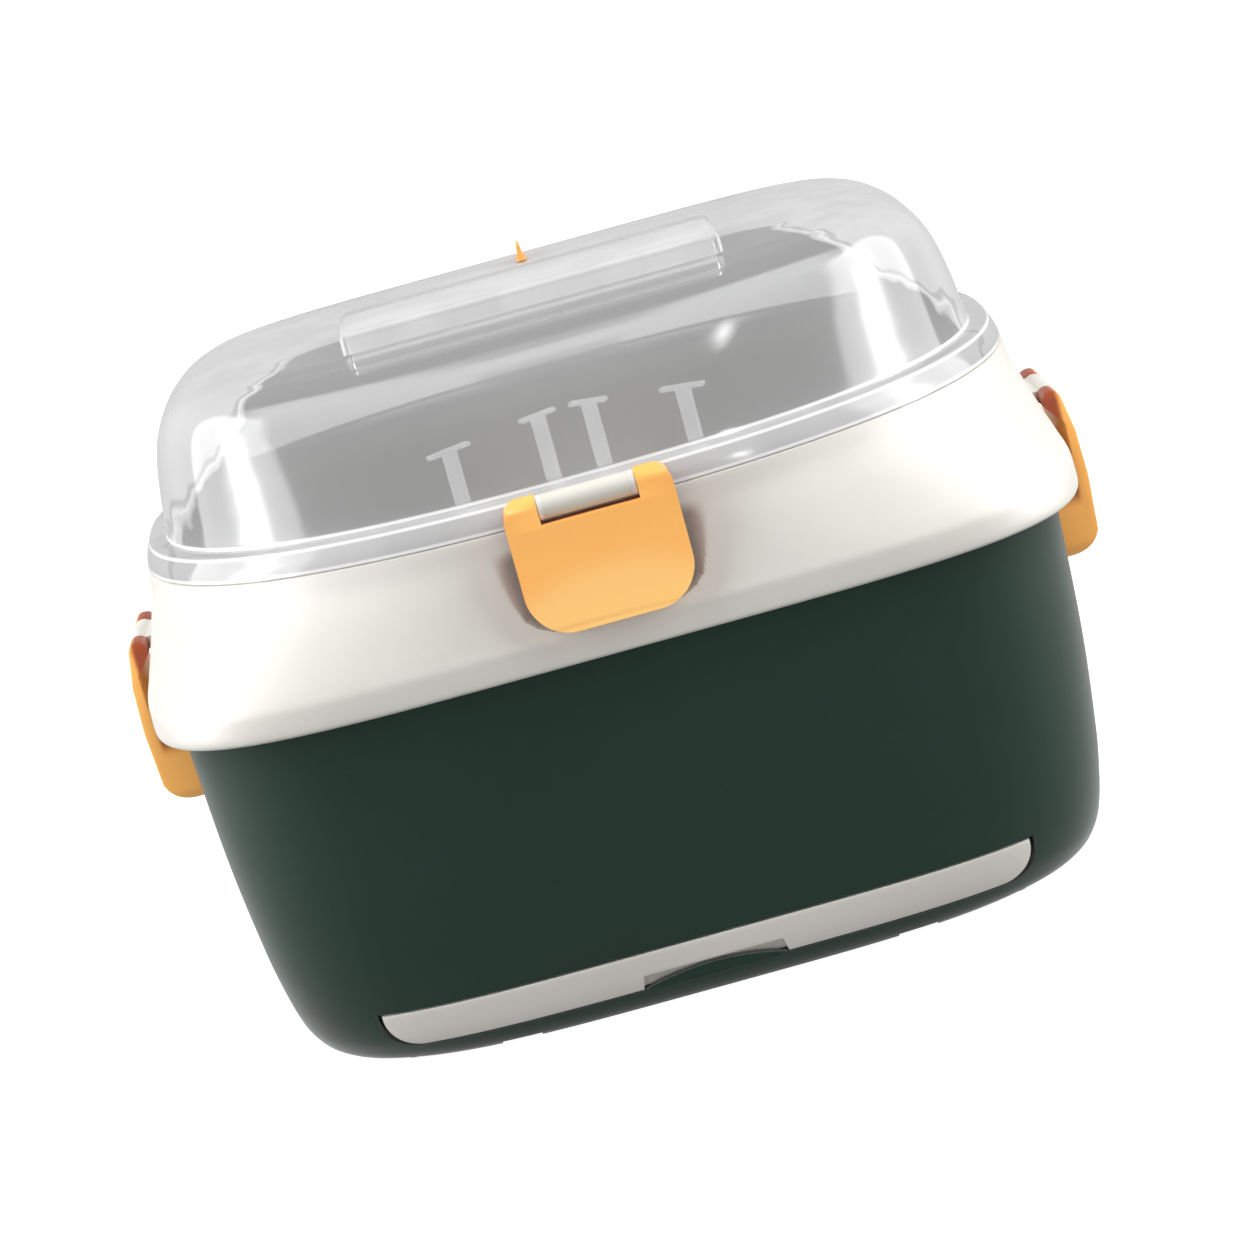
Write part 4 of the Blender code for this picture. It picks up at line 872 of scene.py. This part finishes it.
green = moulded("green_moulding", (0.0045, 0.0265, 0.0145), (0.0065, 0.0325, 0.0185), 0.52, 0.10, 0.1,
                Specular_IOR_Level=0.25, Sheen_Weight=0.60, Sheen_Roughness=0.40)
cream = moulded("cream_moulding", (0.735, 0.715, 0.660), (0.785, 0.770, 0.720), 0.38, 0.06, 0.2)
# painted glow: the orange gives off a little light of its own (emission)
orange = moulded("orange_moulding", (0.985, 0.450, 0.095), (1.000, 0.510, 0.125), 0.36, 0.05, 0.2,
                 Emission_Strength=0.20)
grey = moulded("grey_moulding", (0.840, 0.810, 0.755), (0.900, 0.870, 0.815), 0.42, 0.06, 0.25)
# painted glow: the posts give off a little light of their own, for the light the lid swallows
white = moulded("white_moulding", (0.860, 0.860, 0.850), (0.920, 0.920, 0.910), 0.35, 0.04, 0.1,
                Emission_Strength=0.45, Emission_Color=(1, 1, 1, 1))
rubber = moulded("foot_rubber", (0.018, 0.019, 0.019), (0.030, 0.031, 0.031), 0.80, 0.35, 0.8)
silicone = moulded("seal_silicone", (0.780, 0.780, 0.760), (0.850, 0.850, 0.830), 0.55, 0.12, 0.1)
plug_orange = moulded("plug_silicone", (0.900, 0.420, 0.110), (0.940, 0.470, 0.140), 0.50, 0.12, 0.1)
opaque = (green, cream, orange, grey, white, rubber, silicone, plug_orange)
print("opaque finishes:", [material.name for material in opaque])

# %% [markdown]
# The orange has a painted glow: its outer faces give off a little light of their own, so they
# stay bright. The lower half of the front flap is painted lighter than its upper half, a
# painted highlight where more light falls. The inner sides of the latches face the collar and
# get hardly any light, so there the orange is painted a deep red brown as painted shade, and the
# painted glow is turned off. Where a point lies, in the front latch or in a side latch, tells on
# which side it is.

# %% Orange: painted glow, painted highlight and painted shade
PAINTED_SHADE_BROWN, PAINTED_LIGHT_ORANGE, PAINTED_GLOW = (0.36, 0.060, 0.014, 1), (1.0, 0.60, 0.19, 1), (1.0, 0.45, 0.12, 1)


def shade_latches(material):
    tree = material.node_tree
    shader = tree.nodes["Principled BSDF"]
    axes = Wire.node(tree, "ShaderNodeSeparateXYZ", {}, {0: place_in(tree)}).socket.node
    across = Wire.node(tree, "ShaderNodeMath", {"operation": "ABSOLUTE"}, {0: Wire(axes.outputs[0])})
    deep, height = 0 - Wire(axes.outputs[1]), Wire(axes.outputs[2])
    # painted shade masks: the faces behind the front flap and the inner sides of the side latches
    behind_flap = 1 - step_between(tree, deep + (height - HINGE[1]) * 0.07, 0.1226, 0.1238)
    behind_flap = behind_flap * (1 - step_between(tree, height, HINGE[1], HINGE[1] + 0.002))
    behind_side = (1 - step_between(tree, across, 0.1722, 0.1748)) * step_between(tree, height, 0.117, 0.124)
    at_side = step_between(tree, across, 0.150, 0.152)
    inner = behind_flap * (1 - at_side) + behind_side * at_side
    # painted highlight: the lower half of the front flap is painted lighter, most in the middle
    low = 1 - step_between(tree, height + across * across * 9.0, HINGE[1] - 0.030, HINGE[1] - 0.016)
    colour = Wire(shader.inputs["Base Color"].links[0].from_socket)
    colour = blend_colours(tree, low * (1 - at_side), colour, PAINTED_LIGHT_ORANGE)
    # painted shade: the inner sides turn deep red brown, and their painted glow is set to black
    feed(tree, shader, Base_Color=blend_colours(tree, inner, colour, PAINTED_SHADE_BROWN),
         Emission_Color=blend_colours(tree, inner, PAINTED_GLOW, (0, 0, 0, 1)))


shade_latches(orange)
print("latches shaded")

# %% [markdown]
# The pins are drawn steel wire: bright, with fine scratches from turning in their bores.

# %% Pin steel
pin_steel, tree, shader = finish("pin_steel", Metallic=1.0)
rings_round = Wire.node(tree, "ShaderNodeMapping", {},
                        {"Vector": place_in(tree), "Scale": (900.0, 900.0, 60.0)})
scratches = noise(tree, 1.0, 4.0, 0.7, rings_round)
feed(tree, shader, Base_Color=blend_colours(tree, scratches, (0.46, 0.46, 0.47, 1), (0.68, 0.68, 0.69, 1)),
     Roughness=scratches * 0.25 + 0.18, Normal=bump(tree, scratches, 0.1, 0.00005))
print("pin steel ready")

# %% [markdown]
# The lid is lightly smoked clear plastic. Its long walls are thin and let the inside through as
# a soft grey. Towards the corners and over the roof the wall is painted milky and nearly white:
# partly the scatter of the thicker wall, partly a painted reflection of the bright studio on the
# slanting faces. The border climbs the walls and, on the front half, goes on
# over the roof. Two ramps give its distance from the middle of the lid, one by height and one by
# how far forward a point is, and a noise moves it to and fro, because the melt cooled unevenly.
# A painted highlight line and a painted dark line go along it. The ledge has thin painted
# highlight rims along its edges. The lug in the front latch is nearly solid, and its face is
# cream. The gloss on top comes from a Fresnel mix, so it is weak face-on and strong at a slant.

# %% Shader mixes and lines


def between_shaders(tree, amount, first, second):
    return Wire.node(tree, "ShaderNodeMixShader", {}, {0: amount, 1: first, 2: second})


def compare(tree, operation, first, second=0.0):
    return Wire.node(tree, "ShaderNodeMath", {"operation": operation}, {0: first, 1: second})


def line_at(tree, value, middle, half, soft):
    """1 where a value is near its middle, 0 elsewhere."""
    return 1 - step_between(tree, compare(tree, "ABSOLUTE", value - middle), half, half + soft)


print("shader mixes ready")

# %% Clear lid plastic
BORDER_UP = ((0.00, 0.1440), (0.20, 0.1400), (0.34, 0.1345), (0.53, 0.1245), (0.66, 0.1165),
             (0.79, 0.1110), (0.87, 0.1065), (0.95, 0.1025), (0.99, 0.0975), (1.00, 0.0950))
BORDER_IN = ((0.30, -0.0200), (0.34, 0.0686), (0.36, 0.0800), (0.46, 0.0884), (0.73, 0.0931),
             (0.90, 0.0975), (0.95, 0.1600))
BORDER_NONE, BORDER_WIDE, BORDER_DEEP, BORDER_SWAY = -0.020, 0.180, 0.070, 0.011
SMOKE, MILK, LEDGE_MILK, PAINTED_RIM_SOLID, LUG_SOLID = 0.29, 0.60, 0.70, 0.75, 0.85
LUG_FRONT, LUG_EDGE = 0.1166, 0.0150


def clear_lid():
    material, tree, smoke = finish("clear_moulding", Roughness=0.30, Specular_IOR_Level=0.0)
    milk = tree.nodes.new("ShaderNodeBsdfPrincipled")
    milk.inputs["Specular IOR Level"].default_value = 0.0
    place = place_in(tree)
    axes = Wire.node(tree, "ShaderNodeSeparateXYZ", {}, {0: place}).socket.node
    across = compare(tree, "ABSOLUTE", Wire(axes.outputs[0]))
    deep, height = 0 - Wire(axes.outputs[1]), Wire(axes.outputs[2])
    wave = noise(tree, 80.0, 0.8, 0.5, place) - 0.5
    clouds = noise(tree, 16.0, 3.0, 0.5, place)
    drawn = Wire.node(tree, "ShaderNodeMapping", {}, {"Vector": place, "Scale": (1.0, 1.0, 0.22)})
    streaks = noise(tree, 34.0, 3.0, 0.6, drawn)
    ramps = []
    for border, along in ((BORDER_UP, (height - FLANGE_TOP) / DOME_HEIGHT), (BORDER_IN, deep / BORDER_DEEP)):
        stops = [(share, (wide - BORDER_NONE) / BORDER_WIDE) for share, wide in border]
        ramps.append(Wire.node(tree, "ShaderNodeValToRGB", {"stops": stops}, {0: along}))
    up, inward = ramps
    roof = step_between(tree, height, DOME_TOP - 0.0010, DOME_TOP - 0.0002)
    inward = compare(tree, "MAXIMUM", inward, 1 - roof)
    border_at = compare(tree, "MINIMUM", up, inward) * BORDER_WIDE
    past = across - BORDER_NONE - border_at + wave * BORDER_SWAY
    raised = step_between(tree, height, DOME_TOP + 0.0004, DOME_TOP + 0.0010)
    # partly milky plastic, partly painted reflection on the roof, the raised panel and the corners
    milky_and_painted_reflection = compare(tree, "MAXIMUM", step_between(tree, past, -0.0003, 0.0012), raised)
    # painted highlight line and painted dark line along the milky border
    painted_highlight_line = line_at(tree, past, 0.0, 0.0004, 0.0020)
    painted_dark_line = line_at(tree, past, 0.0024, 0.0004, 0.0014)
    ledge = 1 - step_between(tree, height, FLANGE_TOP + 0.0003, FLANGE_TOP + 0.0012)
    # painted highlight rims along the ledge's edges
    painted_rims = line_at(tree, height, FLANGE_TOP - 0.0009, 0.0003, 0.0004)
    for level in (FLANGE_TOP + 0.0008, LID_Z + 0.0006):
        painted_rims = compare(tree, "MAXIMUM", painted_rims, line_at(tree, height, level, 0.0003, 0.0005))
    lug = step_between(tree, deep, LUG_FRONT, LUG_FRONT + 0.0008)
    # all painted highlights: the border line and the ledge rims
    painted_shine = compare(tree, "MAXIMUM", painted_highlight_line * (1 - ledge) * 0.5, painted_rims)
    pale = blend_colours(tree, step_between(tree, streaks, 0.40, 0.62),
                         (0.89, 0.89, 0.895, 1), (0.97, 0.97, 0.97, 1))
    # the painted dark line is laid on the pale colour
    pale = blend_colours(tree, painted_dark_line * 0.45, pale, (0.40, 0.40, 0.41, 1))
    pale = blend_colours(tree, painted_shine, pale, (0.95, 0.95, 0.95, 1))
    face = lug * (1 - step_between(tree, across, LUG_EDGE, LUG_EDGE + 0.0006))
    pale = blend_colours(tree, face, pale, (0.82, 0.80, 0.72, 1))
    grey_smoke = blend_colours(tree, clouds, (0.88, 0.88, 0.885, 1), (0.93, 0.93, 0.93, 1))
    feed(tree, smoke, Base_Color=grey_smoke)
    feed(tree, milk, Base_Color=pale, Roughness=clouds * 0.1 + 0.2)
    tinted = Wire.node(tree, "ShaderNodeBsdfTransparent", {}, {"Color": (0.93, 0.93, 0.935, 1)})
    open_air = Wire.node(tree, "ShaderNodeBsdfTransparent", {}, {"Color": (0.97, 0.97, 0.97, 1)})
    ripple = bump(tree, wave + clouds * 0.5, 0.015, 0.002)
    gloss = Wire.node(tree, "ShaderNodeBsdfGlossy", {},
                      {"Color": (1, 1, 1, 1), "Roughness": 0.10, "Normal": ripple})
    smoked = between_shaders(tree, SMOKE, tinted, Wire(smoke.outputs[0]))
    milked = between_shaders(tree, MILK, open_air, Wire(milk.outputs[0]))
    milkiness = compare(tree, "MAXIMUM", milky_and_painted_reflection * (1 - ledge), ledge * LEDGE_MILK)
    wall = between_shaders(tree, milkiness, smoked, milked)
    # the painted highlights and the lug are made nearly solid
    solid = compare(tree, "MAXIMUM", painted_shine * PAINTED_RIM_SOLID, lug * LUG_SOLID)
    wall = between_shaders(tree, solid, wall, Wire(milk.outputs[0]))
    mirror = Wire.node(tree, "ShaderNodeFresnel", {}, {"IOR": 1.50, "Normal": ripple})
    wall = between_shaders(tree, mirror, wall, gloss)
    tree.links.new(wall.socket, tree.nodes["Material Output"].inputs["Surface"])
    return material


clear = clear_lid()
print("clear plastic ready")

# %% [markdown]
# ## Dressing
# Each new piece takes its finish. The CAD nodes that stay get theirs in their material slots.

# %% Give out the finishes
for pieces, material in (((tub, lip), green), ((collar, rack), cream), ((drawer,), grey), ((lid,), clear),
                         ((front_latch, left_latch, right_latch), orange), ((left_posts, right_posts), white),
                         ((plug,), plug_orange)):
    for piece in pieces:
        piece.data.materials.clear()
        piece.data.materials.append(material)
kept = {node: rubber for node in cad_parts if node.startswith("foot_")}
kept.update({node: pin_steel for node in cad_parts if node.endswith("_pin")})
kept["lid_seal"] = silicone
for node, material in kept.items():
    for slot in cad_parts[node].material_slots:
        slot.material = material
print("dressed", len(kept), "CAD nodes and the new pieces")

# %% [markdown]
# ## The studio
# The photograph is a product cut-out on white. A tall softbox on each side lights the box, with a
# weak one above, a low one in front and one behind. What the clear lid mirrors is set apart from
# that: on each side a bright strip and a wide, dim haze give the bars on the dome's corners, and
# a lamp within a halo gives the round glow. So each light either lights or is mirrored, and
# one can be changed without the other.

# %% Lights


def softbox(name, place, aim, size, power, mirrored, shape="RECTANGLE"):
    """A soft light that only lights the box, or is only seen mirrored in it."""
    deselect()
    bpy.ops.object.light_add(type="AREA", location=place)
    light = bpy.context.object
    light.name = name
    light.data.shape = shape
    light.data.size, light.data.size_y = size
    light.data.energy = power
    light.rotation_euler = (Vector(aim) - Vector(place)).to_track_quat("-Z", "Y").to_euler()
    light.visible_glossy = mirrored
    light.visible_diffuse = not mirrored


for side, x in (("left", -1.0), ("right", 1.0)):
    softbox(side + "_softbox", (1.35 * x, -0.30, 0.90), (0, 0, 0.15), (1.0, 1.8), 29, False)
    softbox(side + "_strip", (1.28 * x, -0.57, 0.66), (0, 0, 0.66), (0.58, 1.28), 8.5, True)
    softbox(side + "_haze", (1.38 * x, -0.10, 0.80), (0, 0, 0.80), (0.95, 1.55), 20, True)
softbox("top_softbox", (0, 0.20, 1.6), (0, 0, 0.1), (1.6, 1.2), 5, False)
softbox("front_fill", (0, -2.2, 0.12), (0, 0, 0.06), (3.0, 0.5), 10, False)
softbox("back_fill", (0, 2.2, 0.55), (0, 0, 0.10), (2.6, 1.1), 16, False)
for name, width, power in (("round_lamp", 0.05, 0.42), ("round_halo", 0.10, 0.70)):
    softbox(name, (0.482, -1.206, 0.757), (0.06, -0.095, 0.229), (width, width * 4.5), power, True, "ELLIPSE")

# %% [markdown]
# The floor is plain and pale, and glows so that it stays white. It neither lights the box nor is
# mirrored in it, or the glow would flood the box from below. The world is white to the camera,
# dimmer where it is mirrored, and weak as a light.

# %% Floor and world
WORLD_LIGHT, WORLD_SEEN, WORLD_MIRRORED = 0.23, 0.77, 0.40
deselect()
bpy.ops.mesh.primitive_plane_add(size=300, location=(0, 0, 0))
floor = named("floor")
floor.visible_diffuse = False
floor.visible_glossy = False
material, tree, shader = finish("pale_floor", Roughness=0.9, Base_Color=(0.30, 0.30, 0.30, 1),
                                Emission_Strength=0.97, Emission_Color=(1, 1, 1, 1))
floor.data.materials.append(material)
world = bpy.data.worlds.new("studio")
bpy.context.scene.world = world
world.use_nodes = True
background = world.node_tree.nodes["Background"]
background.inputs["Color"].default_value = (1, 1, 1, 1)
rays = world.node_tree.nodes.new("ShaderNodeLightPath")
seen, mirrored = (Wire(rays.outputs[name]) for name in ("Is Camera Ray", "Is Glossy Ray"))
strength = seen * WORLD_SEEN + mirrored * WORLD_MIRRORED + WORLD_LIGHT
world.node_tree.links.new(strength.socket, background.inputs["Strength"])
bpy.context.scene.view_settings.view_transform = "Standard"
print("floor and world ready")

# %% [markdown]
# ## The camera
# The outlines in the photograph fit a long lens 1.3 m away, 15 degrees above the horizon. The
# whole picture is turned by 15.4 degrees, so the camera rolls the other way about its own axis.

# %% Camera
DISTANCE, ELEVATION, ROLL = 1.300, math.radians(15), math.radians(15.4)
target = Vector((0, 0, 0.115))
place = target + DISTANCE * Vector((0, -math.cos(ELEVATION), math.sin(ELEVATION)))
bpy.ops.object.camera_add(location=place)
camera = bpy.context.object
camera.name = "camera"
aim = (target - place).to_track_quat("-Z", "Y").to_matrix()
camera.rotation_euler = (aim @ Matrix.Rotation(-ROLL, 3, "Z")).to_euler()
camera.data.lens = 101.45
camera.data.sensor_width = 36
camera.data.clip_end = 500
bpy.context.scene.camera = camera
print("camera at", tuple(round(v, 3) for v in place))
